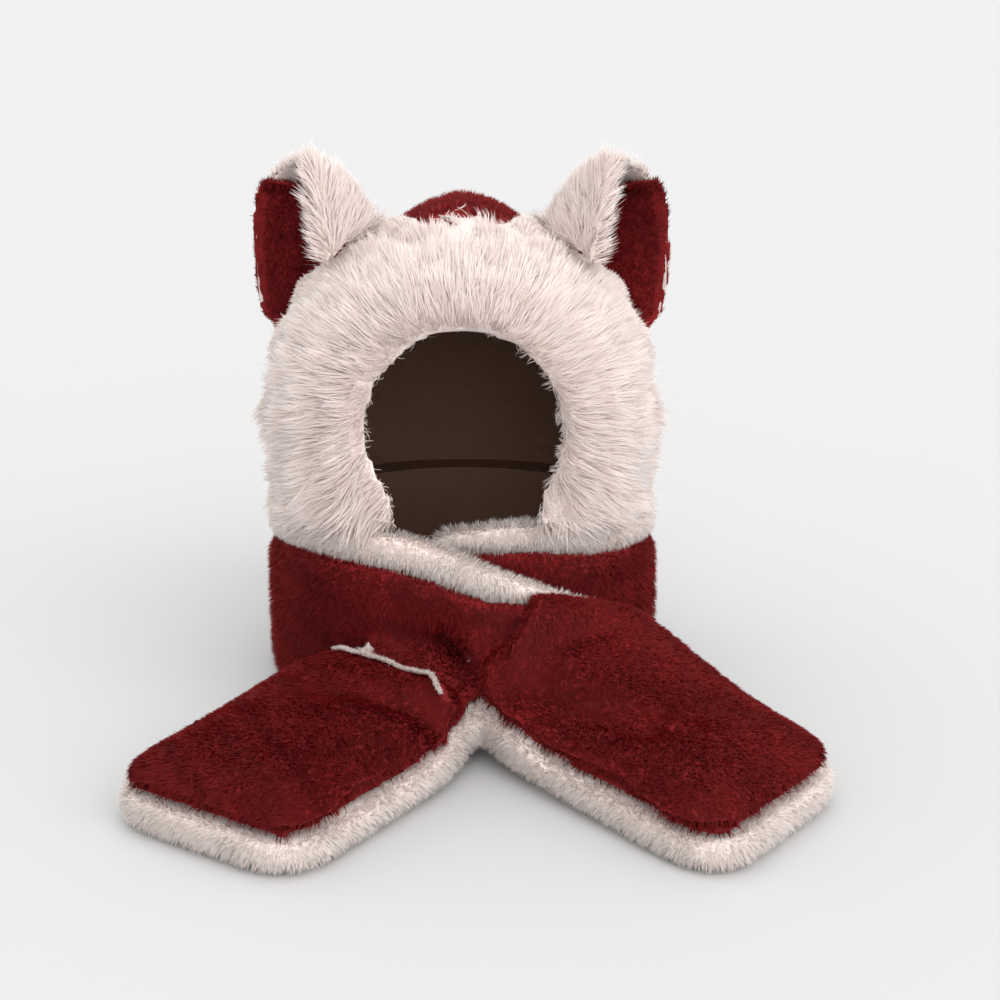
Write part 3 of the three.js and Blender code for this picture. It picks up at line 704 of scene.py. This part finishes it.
@dataclass(frozen=True)
class Fur:
    """Hairs as narrow tapered blades in tufts, which leave the skin and lie down along the nap."""

    name: str
    finish: Finish
    slot: str
    hairs: int
    length: float
    width: float
    segments: int
    rise: float
    lie: float
    tuft: float
    ruffle: float
    seed: int
    pull: float = 0.1
    droop: float = 0.0
    # painted sheen: strength of slow lighter and darker patches over the fur
    painted_sheen: float = 0.2
    mottle: float = 0.15

    def grow(self, skin: Skin, comb: Comb, reach: Reach) -> Object:
        """Grows the hairs on a skin.

        Args:
            skin: what they stand on.
            comb: gives the nap's direction for roots and normals.
            reach: gives density and length shares for roots and normals.

        Returns:
            One object of all the hairs.
        """
        rng = np.random.default_rng(self.seed)
        roots, normals, share = skin.plant(self.hairs, reach, rng)
        count = len(roots)
        nap = along_skin(comb(roots, normals), normals)
        length = self.length * share * rng.uniform(0.7, 1.15, count)
        stray = self.ruffle * rng.normal(size=(count, 3))
        start = unit(self.rise * normals + (1 - self.rise) * nap + stray)
        stray = self.ruffle * rng.normal(size=(count, 3))
        end = unit(self.lie * normals + (1 - self.lie) * nap + stray - self.droop * UP)
        steps = np.linspace(0, 1, self.segments + 1)[None, :, None]
        path = roots[:, None] + length[:, None, None] * (
            start[:, None] * steps + 0.5 * (end - start)[:, None] * steps**2
        )
        path = self.gathered(path, roots, rng)
        path[..., 2] = np.maximum(path[..., 2], FLOOR_CLEARANCE)
        # painted sheen: slow patches, lighter and darker where the brushed nap would turn towards or away
        # from the light
        patches = self.painted_sheen * swirl(roots, 60 * MM, self.seed + 7)[:, 0]
        tone = np.clip(0.5 + patches + self.mottle * rng.normal(size=count), 0.02, 0.98)
        return self.blades(path, normals, tone, rng)

    def gathered(self, path: Array, roots: Array, rng: Chance) -> Array:
        """Bends the hairs' ends towards the middle hair of their tuft.

        Args:
            path: points along each hair.
            roots: their roots.
            rng: the source of chance.

        Returns:
            The bent paths.
        """
        if self.pull <= 0:
            return path
        spread = max(1, int(len(roots) / max(1.0, self.guides(roots))))
        guides = rng.permutation(len(roots))[::spread]
        tree = KDTree(len(guides))
        for k, g in enumerate(guides):
            tree.insert(roots[g], k)
        tree.balance()
        nearest = guides[np.array([tree.find(r)[1] for r in roots])]
        steps = np.linspace(0, 1, self.segments + 1)[None, :, None]
        return path + self.pull * steps**1.3 * (path[nearest] - path)

    def guides(self, roots: Array) -> float:
        """About how many tufts fit on the skin that the roots cover."""
        cells = np.unique(np.floor(roots / self.tuft).astype(int), axis=0)
        return 0.8 * len(cells)

    def blades(self, path: Array, normals: Array, tone: Array, rng: Chance) -> Object:
        """Turns paths into tapered blades with shading normals near the skin's.

        Args:
            path: points along each hair.
            normals: skin normals at the roots.
            tone: light or dark, for each hair: random tone with slow patches of painted sheen.
            rng: the source of chance.

        Returns:
            The object.
        """
        count, rings = path.shape[0], path.shape[1]
        ahead = unit(path[:, -1] - path[:, 0])
        side = unit(np.cross(ahead, normals) + 1e-6)
        face = unit(np.cross(side, ahead))
        turn = rng.uniform(-1.0, 1.0, count)[:, None]
        side, face = side * np.cos(turn) + face * np.sin(turn), face * np.cos(turn) - side * np.sin(turn)
        steps = np.linspace(0, 1, rings)
        half = 0.5 * self.width * (1 - steps[:-1]) ** 0.6
        offset = side[:, None] * half[None, :, None]
        left, right = path[:, :-1] - offset, path[:, :-1] + offset
        pairs = np.stack([left, right], axis=2).reshape(count, -1, 3)
        points = np.concatenate([pairs, path[:, -1:]], axis=1)
        size = points.shape[1]
        quads = [[2 * k, 2 * k + 1, 2 * k + 3, 2 * k + 2] for k in range(rings - 2)]
        tip = [2 * (rings - 2), 2 * (rings - 2) + 1, size - 1]
        pattern = np.array([i for quad in quads for i in quad] + tip)
        totals = np.array([4] * len(quads) + [3])
        loops = (pattern[None] + size * np.arange(count)[:, None]).ravel()
        starts = np.concatenate([[0], np.cumsum(np.tile(totals, count))[:-1]])
        mesh = bpy.data.meshes.new(self.name)
        mesh.vertices.add(points.shape[0] * size)
        mesh.vertices.foreach_set("co", points.ravel())
        mesh.loops.add(len(loops))
        mesh.loops.foreach_set("vertex_index", loops)
        mesh.polygons.add(len(starts))
        mesh.polygons.foreach_set("loop_start", starts)
        smooth_shaded(mesh)
        mesh.update(calc_edges=True)
        height = np.concatenate([np.repeat(steps[:-1], 2), [1.0]])
        sway = np.concatenate([np.tile([-0.004, 0.004], rings - 1), [0.0]])
        across = np.clip(tone[:, None] + sway[None], 0.0, 1.0)
        uv = np.stack([across, np.broadcast_to(height[None], across.shape)], axis=2).reshape(-1, 2)
        layer = mesh.uv_layers.new(name="OFBake")
        layer.data.foreach_set("uv", uv[loops].ravel())
        lit = unit(0.9 * normals + 0.1 * face)
        mesh.normals_split_custom_set_from_vertices(np.repeat(lit, size, axis=0).tolist())
        obj = new_object(self.name, mesh, self.finish.value.material())
        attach(obj, "root")
        return obj


@dataclass(frozen=True)
class Padding:
    """Cloth simulation that swells a padded cover between its held seams."""

    pressure: float = 4.0
    frames: int = 20
    cap: float = 5 * MM
    stiffness: float = 12.0

    def swell(self, obj: Object, held: Array) -> None:
        """Inflates a mesh and applies the result.

        Args:
            obj: the padded mesh.
            held: share by which each vertex stays at its seam.
        """
        group = obj.vertex_groups.new(name="seam")
        for index in np.nonzero(held > 0)[0]:
            group.add([int(index)], float(held[index]), "REPLACE")
        cloth = obj.modifiers.new("swell", "CLOTH")
        settings = cloth.settings
        settings.use_pressure = True
        settings.uniform_pressure_force = self.pressure
        settings.vertex_group_mass = group.name
        settings.tension_stiffness = settings.compression_stiffness = self.stiffness
        settings.bending_stiffness = 0.4
        settings.quality = 5
        settings.effector_weights.gravity = 0.0
        cloth.collision_settings.use_collision = False
        scene = bpy.context.scene
        scene.frame_start, scene.frame_end = 1, self.frames
        for number in range(1, self.frames + 1):
            scene.frame_set(number)
        result = evaluated(obj)
        write_points(obj.data, capped(read_points(obj.data), read_points(result), self.cap))
        bpy.data.meshes.remove(result)
        scene.frame_set(1)


def subdivide(obj: Object) -> None:
    """Smooths a mesh with one level of subdivision, and applies it."""
    obj.modifiers.new("smooth", "SUBSURF").levels = 1
    obj.data = evaluated(obj)
    smooth_shaded(obj.data)


# Naps
def ruff_comb(points: Array, normals: Array) -> Array:
    """Nap of the ruff: away from the face opening, and more and more backwards towards its outer edge.

    Args:
        points: roots.
        normals: their normals; not used.

    Returns:
        One direction a row.
    """
    out = points - FACE_CENTRE
    back = smooth_step(*RUFF_TURNS, np.linalg.norm(out * ACROSS_FACE, axis=1))[:, None]
    top = smooth_step(*RUFF_TOP_LIES, points[:, 1])[:, None]
    nap = (1 - 0.5 * back) * unit(out) + 1.2 * back * BACK - (0.12 + 0.6 * top) * UP
    return nap + 0.15 * swirl(points, 50 * MM, 3)


def strip_comb(points: Array, normals: Array) -> Array:
    """Nap of the scarf: down the neck band and every side, and along the tails to their ends.

    Args:
        points: roots.
        normals: their normals.

    Returns:
        One direction a row.
    """
    out = unit((points - CROSSING) * LEVEL)
    tail = (1 - smooth_step(*TAIL_HEIGHT, points[:, 2])) * (points[:, 1] < TAIL_FRONT)
    flat = (tail * smooth_step(0.2, 0.6, normals[:, 2]))[:, None]
    return flat * out - (1 - flat) * UP + 0.3 * swirl(points, 70 * MM, 11)


def side_reach(points: Array, normals: Array) -> Shares:
    """Full density; a little longer on the sides, where the pile hangs over the seam below."""
    side = (1 - smooth_step(0.1, 0.5, normals[:, 2])) * (points[:, 2] < BAND_HEIGHT)
    return np.ones(len(points)), 1 + 0.6 * side


def everywhere(points: Array, normals: Array) -> Shares:
    """Full density and length."""
    return np.ones(len(points)), np.ones(len(points))


def crown_comb(points: Array, normals: Array) -> Array:
    """Nap of the crown: back over the top and down behind."""
    return np.array([0.0, 1.0, -0.8]) + 0.3 * swirl(points, 60 * MM, 5)


def towards_face(points: Array, normals: Array) -> Array:
    """How much each normal faces the middle of the face opening."""
    radial = unit((points - FACE_CENTRE) * ACROSS_FACE)
    return np.clip(-np.sum(radial * normals, axis=1), 0, 1)


def ruff_reach(points: Array, normals: Array) -> Shares:
    """Where the ruff's fur stands, and how long it is.

    Args:
        points: places on the skin.
        normals: their normals.

    Returns:
        Density and length share of each.
    """
    inward = towards_face(points, normals)
    behind = smooth_step(*RUFF_BEHIND, points[:, 1]) * (inward > 0.3)
    below = smooth_step(0.4, 0.8, -normals[:, 2])
    top = smooth_step(*RUFF_TOP_SHORT, points[:, 1]) * smooth_step(-0.2, 0.2, normals[:, 2])
    density = (1 - behind) * (1 - 0.9 * below)
    return density, (1 - 0.62 * smooth_step(0.2, 0.8, inward)) * (1 - 0.7 * top)


def ruff_depth(points: Array, normals: Array) -> Array:
    """How deep the ruff's backing lies: shallow at the opening, the back edge and the thin corner.

    Args:
        points: places on the outline.
        normals: their normals.

    Returns:
        Share of the full depth.
    """
    inward = smooth_step(0.0, 0.6, towards_face(points, normals))
    thin = np.exp(-((np.linalg.norm(points - THIN_SPOT, axis=1) / THIN_SPREAD) ** 2))
    back_edge = smooth_step(*RUFF_BACK_EDGE, points[:, 1])
    return (1 - 0.88 * inward) * (1 - 0.85 * back_edge) * (1 - 0.85 * thin)


def near_line(points: Array, line: Line) -> Array:
    """Distance of each point to a line of straight pieces, seen from above.

    Args:
        points: X and Y, one place a row.
        line: the corners of the line.

    Returns:
        One distance for each point.
    """
    corners = np.array(line)
    distance = np.full(len(points), np.inf)
    for start, end in zip(corners[:-1], corners[1:]):
        way = end - start
        share = np.clip((points - start) @ way / (way @ way), 0, 1)[:, None]
        distance = np.minimum(distance, np.linalg.norm(points - start - share * way, axis=1))
    return distance


# Sub-assemblies
@dataclass
class Hood:
    """Hood: the red crown, the dark lining and the cream ruff with its long fur."""

    ruff_length: float = 27 * MM
    under_length: float = 17 * MM
    ruff_inset: float = 11 * MM
    pile_length: float = 5 * MM
    crown_cut: tuple[float, float] = (0.34, 0.49)
    lining_cut: tuple[float, float] = (0.34, 0.50)

    def build(self, frame: dict) -> None:
        """Builds the hood's pieces.

        Args:
            frame: the loaded frame.
        """
        self.crown(frame)
        self.lining(frame)
        self.ruff(frame)

    def crown(self, frame: dict) -> None:
        """The crown's shell and its short red pile."""
        base = SoftLayer(
            "hood_crown", Finish.RED_PILE, "red_plush", voxel=5.5 * MM, inset=2 * MM
        ).build(frame)
        cover = Cover.of(frame, "hood_crown")

        def reach(points: Array, normals: Array) -> Shares:
            """Pile on the outside, behind the ruff."""
            outward = np.sum(unit(points - HOOD_AXIS) * normals, axis=1) > 0.1
            return outward * smooth_step(*CROWN_SHOWS, points[:, 1]), np.ones(len(points))

        pile = Fur(
            "hood_crown_pile", Finish.RED_HAIR, "red_plush", 27000, self.pile_length, 1.1 * MM, 1,
            rise=0.7, lie=0.5, tuft=7 * MM, ruffle=0.2, seed=21,
        )
        pile.grow(Skin.of(base, cover, 3 * MM), crown_comb, reach)
        LOG.info("hood crown: shell and pile")

    def lining(self, frame: dict) -> None:
        """The dark lining, laid inside the crown."""
        source = frame["nodes"]["hood_lining"].data.copy()
        obj = new_object("hood_lining_knit", source, Finish.BROWN_KNIT.value.material())
        divide = obj.modifiers.new("divide", "SUBSURF")
        divide.subdivision_type = "SIMPLE"
        divide.levels = 1
        obj.data = evaluated(obj)
        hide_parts("hood_lining")
        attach(obj, "root")
        LOG.info("hood lining")

    def ruff(self, frame: dict) -> None:
        """The ruff's backing, its underfur, its long hairs and the fine ones that stand out of them."""
        base = SoftLayer(
            "face_ruff", Finish.CREAM_PILE, "cream_fur", voxel=5 * MM, rounds=14, inset=self.ruff_inset,
            cap=10 * MM, depth=ruff_depth,
        ).build(frame)
        skin = Skin.of(base, Cover.of(frame, "face_ruff"), 1.5 * MM)
        under = Fur(
            "ruff_underfur", Finish.CREAM_HAIR, "cream_fur", 26000, self.under_length, 0.9 * MM, 2,
            rise=0.6, lie=0.25, tuft=6 * MM, pull=0.35, ruffle=0.18, droop=0.1, seed=31,
        )
        long = Fur(
            "ruff_long_fur", Finish.CREAM_HAIR, "cream_fur", 34000, self.ruff_length, 0.7 * MM, 3,
            rise=0.48, lie=0.08, tuft=7 * MM, pull=0.35, ruffle=0.1, droop=0.1, seed=32,
        )
        fine = Fur(
            "ruff_fine_fur", Finish.CREAM_HAIR, "cream_fur", 12000, 0.9 * self.ruff_length, 0.5 * MM, 3,
            rise=0.5, lie=0.1, tuft=12 * MM, ruffle=0.15, droop=0.05, seed=33,
        )
        for fur in (under, long, fine):
            fur.grow(skin, ruff_comb, ruff_reach)
        LOG.info("ruff: backing, underfur, long and fine fur")


@dataclass
class Ear:
    """Ear: a cream fur cup with a red plush inside; side is -1 at the viewer's left, 1 at the right."""

    side: int
    fur_length: float = 18 * MM
    fur_inset: float = 5 * MM
    inner_reach: float = 7 * MM
    inner_rise: float = 12 * MM
    tip_drop: float = 16 * MM
    pile_length: float = 4 * MM
    inner_cut: tuple[float, float] = (0.07, 0.10)
    tip_heights: tuple[float, float] = (0.318, 0.352)
    fur_tip_heights: tuple[float, float] = (0.343, 0.358)

    @property
    def name(self) -> str:
        """The CAD name of this ear."""
        return "left_ear" if self.side < 0 else "right_ear"

    @property
    def facing(self) -> Array:
        """The way that the cup opens."""
        return unit(np.array([0.8 * self.side, -0.6, 0.0]))

    @property
    def across(self) -> Array:
        """From the ear's outer edge towards its edge beside the face, in the cup's mouth."""
        return unit(np.array([-0.6 * self.side, -0.8, 0.0]))

    def depth(self, points: Array) -> Array:
        """How far behind the mouth of the cup each point lies."""
        return -(points - EAR_CENTRES[self.side]) @ self.facing

    def inwards(self, points: Array) -> Array:
        """How far towards the face each point lies from the middle of the mouth."""
        return (points - EAR_CENTRES[self.side]) @ self.across

    def outer_half(self, points: Array) -> Array:
        """Share of the half away from the face, where the fur is short."""
        return 1 - smooth_step(-8 * MM, 12 * MM, self.inwards(points))

    def inner_half(self, points: Array) -> Array:
        """Share of the part beside the face."""
        return smooth_step(-30 * MM, 10 * MM, self.inwards(points))

    def near_tip(self, points: Array) -> Array:
        """Share that each point has in the ear's tip."""
        return smooth_step(*self.tip_heights, points[:, 2])

    def set_back(self, points: Array, normals: Array) -> Array:
        """How deep the cup's backing lies: deepest under the long fur beside the face.

        Args:
            points: places on the outline.
            normals: their normals.

        Returns:
            Share of the full depth.
        """
        facing, outer = normals @ self.facing, self.outer_half(points)
        outside = 1 - smooth_step(-0.3, 0.3, facing)
        rim = smooth_step(0.3, 0.7, facing) * (self.depth(points) < 10 * MM)
        return 0.25 + 0.75 * outside * (1 - 0.7 * outer) + 0.5 * rim * outer

    def fold_out(self, obj: Object) -> None:
        """Lets the red inside reach over the cup's outer rim, and drops its upper corner beside the face.

        Args:
            obj: the red inside.
        """
        points = read_points(obj.data)
        drop = self.near_tip(points) * self.inner_half(points)
        share = (1 - smooth_step(13 * MM, 36 * MM, self.depth(points))) * self.outer_half(points)
        points[:, 2] -= self.tip_drop * drop
        points -= (self.inner_reach * share)[:, None] * self.across
        points += (self.inner_rise * share)[:, None] * self.facing
        write_points(obj.data, points)

    def comb(self, points: Array, normals: Array) -> Array:
        """Nap of the ear: up to the tip, and from the rim over the mouth.

        Args:
            points: roots.
            normals: their normals; not used.

        Returns:
            One direction a row.
        """
        rim = (1 - smooth_step(4 * MM, 16 * MM, self.depth(points)))[:, None]
        beside = np.sign(self.inwards(points))[:, None]
        body = 0.8 * UP - 0.5 * self.facing
        mouth = 0.45 * UP + 0.7 * self.facing - 0.75 * np.maximum(beside, -0.35) * self.across
        return (1 - rim) * body + rim * mouth + 0.2 * swirl(points, 40 * MM, 15)

    def reach(self, points: Array, normals: Array) -> Shares:
        """Fur on the outside and the rim, but not in the hollow or where the red folds over the rim.

        Args:
            points: places on the skin.
            normals: their normals.

        Returns:
            Density and length share of each.
        """
        depth = self.depth(points)
        hollow = smooth_step(0.1, 0.5, normals @ self.facing) * smooth_step(6 * MM, 10 * MM, depth)
        hollow = hollow * (1 - self.near_tip(points) * self.inner_half(points))
        tip, outer = smooth_step(*self.fur_tip_heights, points[:, 2]), self.outer_half(points)
        bare = outer * (1 - smooth_step(10 * MM, 20 * MM, depth)) * (1 - tip)
        return (1 - hollow) * (1 - bare), 1 - (0.76 - 0.3 * tip) * outer

    def build(self, frame: dict) -> None:
        """Builds the cup, its fur, and the red inside with its pile.

        Args:
            frame: the loaded frame.
        """
        cup = SoftLayer(
            self.name, Finish.CREAM_PILE, "cream_fur", voxel=3.6 * MM, rounds=6, inset=self.fur_inset,
            depth=self.set_back,
        ).build(frame)
        fur = Fur(
            f"{self.name}_fur", Finish.CREAM_HAIR, "cream_fur", 11500, self.fur_length, 0.7 * MM, 3,
            rise=0.42, lie=0.1, tuft=5 * MM, pull=0.2, ruffle=0.12, seed=41 + self.side,
        )
        fur.grow(Skin.of(cup, Cover.of(frame, self.name), 2 * MM), self.comb, self.reach)
        inner = SoftLayer(
            f"{self.name}_inner", Finish.RED_PILE, "red_plush", voxel=2.8 * MM, rounds=4, inset=0.6 * MM
        ).build(frame)
        self.fold_out(inner)
        pile = Fur(
            f"{self.name}_inner_pile", Finish.RED_HAIR, "red_plush", 9000, self.pile_length, 0.8 * MM, 1,
            rise=0.7, lie=0.45, tuft=6 * MM, ruffle=0.2, seed=45 + self.side,
        )
        pile.grow(
            Skin.of(inner, Cover.of(frame, f"{self.name}_inner"), 4 * MM),
            lambda points, normals: UP + 0.3 * swirl(points, 40 * MM, 17),
            everywhere,
        )
        LOG.info("%s: cup, fur, inside and pile", self.name)


@dataclass
class Scarf:
    """Scarf: the red plush face and the cream plush back of the wrapped strip."""

    red_length: float = 4.5 * MM
    cream_length: float = 6 * MM

    def build(self, frame: dict) -> None:
        """Builds both layers and their pile.

        Args:
            frame: the loaded frame.
        """
        groove = Dent(BESIDE_LEFT_MOUTH, 7 * MM, 9 * MM, below=GROOVE_TOP)
        red = SoftLayer(
            "scarf_outer", Finish.RED_PILE, "red_plush", voxel=4.5 * MM, inset=1.6 * MM, dents=(groove,)
        ).build(frame)
        pile = Fur(
            "scarf_red_pile", Finish.RED_HAIR, "red_plush", 84000, self.red_length, 0.9 * MM, 1,
            rise=0.75, lie=0.5, tuft=7 * MM, ruffle=0.13, seed=51,
            # slow patches of painted sheen on the red pile
            painted_sheen=0.3, mottle=0.09,
        )
        pile.grow(Skin.of(red, Cover.of(frame, "scarf_outer"), 6 * MM), strip_comb, side_reach)
        cream = SoftLayer(
            "scarf_lining", Finish.CREAM_PILE, "cream_plush", voxel=5 * MM, inset=2 * MM
        ).build(frame)
        plush = Fur(
            "scarf_cream_plush", Finish.CREAM_PLUSH, "cream_plush", 94000, self.cream_length, 1.0 * MM, 1,
            rise=0.85, lie=0.6, tuft=5 * MM, pull=0.15, ruffle=0.15, droop=0.1, seed=52, mottle=0.1,
        )
        plush.grow(Skin.of(cream, Cover.of(frame, "scarf_lining"), 3 * MM), strip_comb, self.cream_reach)
        LOG.info("scarf: red face and cream back, with their pile")

    @staticmethod
    def cream_reach(points: Array, normals: Array) -> Shares:
        """Cream plush where it shows: not underneath, and thin inside the neck band.

        Args:
            points: places on the skin.
            normals: their normals.

        Returns:
            Density and length share of each.
        """
        under = smooth_step(0.8, 0.95, -normals[:, 2]) * (points[:, 2] < 8 * MM)
        to_neck = -np.sum(unit((points - HOOD_AXIS) * LEVEL) * normals, axis=1)
        inside = smooth_step(0.5, 0.9, to_neck) * (points[:, 1] > BAND_FRONT)
        return (1 - under) * (1 - 0.85 * inside), 1 - 0.4 * inside


@dataclass
class HandPocket:
    """Hand pocket: a padded red cover, swollen between its seams and dented, with its pile.

    The cream edge of the mouth, where it shows, lies on a ribbon. It is searched for from the line
    cream_edge outwards, and laid edge_back behind the cover's first point and edge_lift above it.
    """

    node: str
    seed: int
    dents: tuple[Dent, ...]
    cream_edge: Line = ()
    edge_reach: float = 3 * MM
    edge_lift: float = 2 * MM
    edge_back: float = 4 * MM
    search: float = 25 * MM
    above: float = 82 * MM
    usual: float = 58 * MM
    flare: float = 7 * MM
    sag: float = 1.5 * MM
    pile_length: float = 4.5 * MM
    padding: Padding = Padding()

    def build(self, frame: dict) -> None:
        """Builds the cover and its pile.

        Args:
            frame: the loaded frame.
        """
        base = SoftLayer(
            self.node, Finish.RED_PILE, "red_plush", voxel=6 * MM, rounds=6, inset=2.5 * MM
        ).build(frame)
        gap = self.gap_to_tail(base, frame)
        self.padding.swell(base, 1 - smooth_step(4 * MM, 8 * MM, gap))
        self.shape(base, gap)
        subdivide(base)
        skin = Skin.of(base, Cover.of(frame, self.node), 3 * MM)
        pile = Fur(
            f"{self.node}_pile", Finish.RED_HAIR, "red_plush", 58000, self.pile_length, 1.0 * MM, 1,
            rise=0.55, lie=0.3, tuft=8 * MM, pull=0.0, ruffle=0.1, seed=self.seed,
            # slow patches of painted sheen on the pocket's pile
            painted_sheen=0.3, mottle=0.08,
        )
        pile.grow(skin, strip_comb, self.red_reach)
        if self.cream_edge:
            self.binding(base)
        LOG.info("%s: padded cover and pile", self.node)

    def shape(self, obj: Object, gap: Array) -> None:
        """Presses the dents into the top, and lets the lower edge flare out over the seam.

        Args:
            obj: the cover.
            gap: how far each vertex is from the tail.
        """
        points, normals = read_points(obj.data), read_normals(obj.data)
        for dent in self.dents:
            points = dent.press(points, normals)
        level = smooth_step(0.1, 0.5, np.linalg.norm(normals * LEVEL, axis=1))
        side = (1 - smooth_step(3 * MM, 14 * MM, gap)) * level
        points += (self.flare * side)[:, None] * unit(normals * LEVEL)
        points[:, 2] -= self.sag * side
        write_points(obj.data, points)

    def binding(self, cover: Object) -> None:
        """The thin cream edge of the mouth: short plush along a ribbon on the rolled edge of the cover.

        Args:
            cover: the padded cover.
        """
        path, height = self.mouth_path(cover)
        sideways = across_line(path) * self.edge_reach / 2
        rows = [np.column_stack([path + k * sideways, height]) for k in (-1, 1)]
        count = len(path)
        faces = [(i, i + 1, count + i + 1, count + i) for i in range(count - 1)]
        mesh = bpy.data.meshes.new(f"{self.node}_edge_ribbon")
        mesh.from_pydata(np.concatenate(rows).tolist(), [], faces)
        if mesh.polygons[0].normal.z < 0:
            mesh.flip_normals()
        ribbon = bpy.data.objects.new(mesh.name, mesh)
        edge = Fur(
            f"{self.node}_edge", Finish.CREAM_PLUSH, "cream_plush", 2500, 4 * MM, 0.7 * MM, 2,
            rise=0.8, lie=0.5, tuft=4 * MM, ruffle=0.3, seed=self.seed + 1,
        )
        edge.grow(Skin.of(ribbon), strip_comb, everywhere)
        bpy.data.objects.remove(ribbon)

    def mouth_path(self, cover: Object) -> tuple[Array, Array]:
        """Finds the rolled edge of the mouth.

        Args:
            cover: the padded cover.

        Returns:
            The ribbon's middle line seen from above, and its height along it.
        """
        line = np.array(self.cream_edge)
        steps, numbers = np.linspace(0, len(line) - 1, 60), np.arange(len(line))
        path = relaxed_line(np.stack([np.interp(steps, numbers, line[:, k]) for k in (0, 1)], axis=1), 6)
        tree = tree_of(cover.data)
        out = across_line(path)
        out *= -np.sign(out[:, 1:])
        heights = np.full(len(path), self.usual)
        for i in range(len(path)):
            for step in np.arange(0.0, self.search, MM):
                if self.top_below(tree, path[i] + step * out[i]):
                    path[i] += (step + self.edge_back) * out[i]
                    top = self.top_below(tree, path[i])
                    heights[i] = top.z if top else self.usual
                    break
        return relaxed_line(path, 4), relaxed_line(heights[:, None], 3)[:, 0] + self.edge_lift

    def top_below(self, tree: BVHTree, place: Array) -> Optional[Vector]:
        """The cover's top at a place seen from above, if the cover is there."""
        return tree.ray_cast(Vector((place[0], place[1], self.above)), Vector((0, 0, -1)))[0]

    def edge_share(self, points: Array, normals: Array) -> Array:
        """Where the cream edge of the mouth shows instead of the red pile."""
        if not self.cream_edge:
            return np.zeros(len(points))
        near = near_line(points[:, :2], self.cream_edge) < self.edge_reach
        return near * (normals[:, 2] > -0.4) * 1.0

    def red_reach(self, points: Array, normals: Array) -> Shares:
        """Red pile all over but for the cream edge of the mouth."""
        density, length = side_reach(points, normals)
        return density * (1 - self.edge_share(points, normals)), length

    @staticmethod
    def gap_to_tail(obj: Object, frame: dict) -> Array:
        """Distance of each vertex of the cover to the tail below it."""
        tree = tree_of(frame["nodes"]["scarf_outer"].data)
        return np.array([tree.find_nearest(v.co)[3] for v in obj.data.vertices])


@dataclass(frozen=True)
class Studio:
    """Pale floor that runs out of the picture, soft light from all around, and the camera."""

    floor_colour: str = "#B9B9B9"
    floor_reach: float = 60.0
    sky_low: float = 1.3
    sky_high: float = 1.25
    suns: tuple[tuple[str, tuple[float, float, float], float, float], ...] = (
        ("key", (-28, -16, 0), 0.6, 70.0),
        ("front", (62, 0, 28), 2.6, 80.0),
    )

    def build(self) -> None:
        """Builds the floor, the lights and the camera."""
        mesh = bpy.data.meshes.new("studio_floor")
        r = self.floor_reach
        mesh.from_pydata([(-r, -r, 0), (r, -r, 0), (r, r, 0), (-r, r, 0)], [], [(0, 1, 2, 3)])
        material = new_material("pale studio floor, matte painted")
        look = {"Base Color": linear(self.floor_colour), "Roughness": 0.9, "Specular IOR Level": 0.0}
        show(material.node_tree, principled(material.node_tree, look))
        floor = new_object("studio_floor", mesh, material)
        floor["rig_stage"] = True
        self.light()
        self.camera()
        LOG.info("studio: floor, light and camera")

    def light(self) -> None:
        """Even light from all around, and soft lights from the upper left behind and the front right."""
        scene = bpy.context.scene
        world = bpy.data.worlds.new("studio")
        scene.world = world
        world.use_nodes = True
        tree = world.node_tree
        tree.nodes.clear()
        place = add_node(tree, "TexCoord", {}).outputs["Generated"]
        height = add_node(tree, "SeparateXYZ", {"Vector": place}).outputs["Z"]
        span = {"Value": height, "From Min": 0.0, "From Max": 1.0}
        span |= {"To Min": self.sky_low, "To Max": self.sky_high}
        strength = add_node(tree, "MapRange", span).outputs["Result"]
        sky = add_node(tree, "Background", {"Color": (1.0, 1.0, 1.0, 1.0), "Strength": strength})
        add_node(tree, "OutputWorld", {"Surface": sky.outputs["Background"]})
        for name, turn, strength, softness in self.suns:
            lamp = bpy.data.lights.new(name, "SUN")
            lamp.energy = strength
            lamp.angle = math.radians(softness)
            obj = bpy.data.objects.new(name, lamp)
            obj.rotation_euler = [math.radians(a) for a in turn]
            scene.collection.objects.link(obj)
        scene.view_settings.view_transform = "Standard"

    def camera(self) -> None:
        """The camera at the photograph's angle."""
        scene = bpy.context.scene
        data = bpy.data.cameras.new("camera")
        data.sensor_width = 36.0
        data.lens = CAMERA_LENS
        data.clip_end = 200.0
        obj = bpy.data.objects.new("camera", data)
        obj.location = CAMERA_PLACE
        obj.rotation_euler = (math.radians(90 - CAMERA_TILT), 0.0, 0.0)
        scene.collection.objects.link(obj)
        scene.camera = obj


def count_triangles() -> int:
    """Triangles that the scene adds to the CAD part."""
    total = 0
    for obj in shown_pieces():
        if "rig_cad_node" not in obj:
            obj.data.calc_loop_triangles()
            LOG.info("  %s: %d triangles", obj.name, len(obj.data.loop_triangles))
            total += len(obj.data.loop_triangles)
    return total


def main() -> None:
    """Builds the scarf and the studio in order."""
    logging.basicConfig(level=logging.INFO, format="%(name)s: %(message)s", stream=sys.stdout)
    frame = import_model()
    Hood().build(frame)
    for side in (-1, 1):
        Ear(side).build(frame)
    Scarf().build(frame)
    left_dents = (Dent(LEFT_VALLEY, 6 * MM, 12 * MM), Dent(LEFT_MOUTH, -5 * MM, 10 * MM))
    right_dents = (Dent(RIGHT_VALLEY, 7 * MM, 13 * MM), Dent(RIGHT_MOUTH, -4 * MM, 9 * MM))
    HandPocket("left_pocket", seed=61, dents=left_dents, cream_edge=LEFT_MOUTH).build(frame)
    HandPocket("right_pocket", seed=63, dents=right_dents).build(frame)
    Studio().build()
    LOG.info("%d triangles in all", count_triangles())


if __name__ == "__main__":
    main()
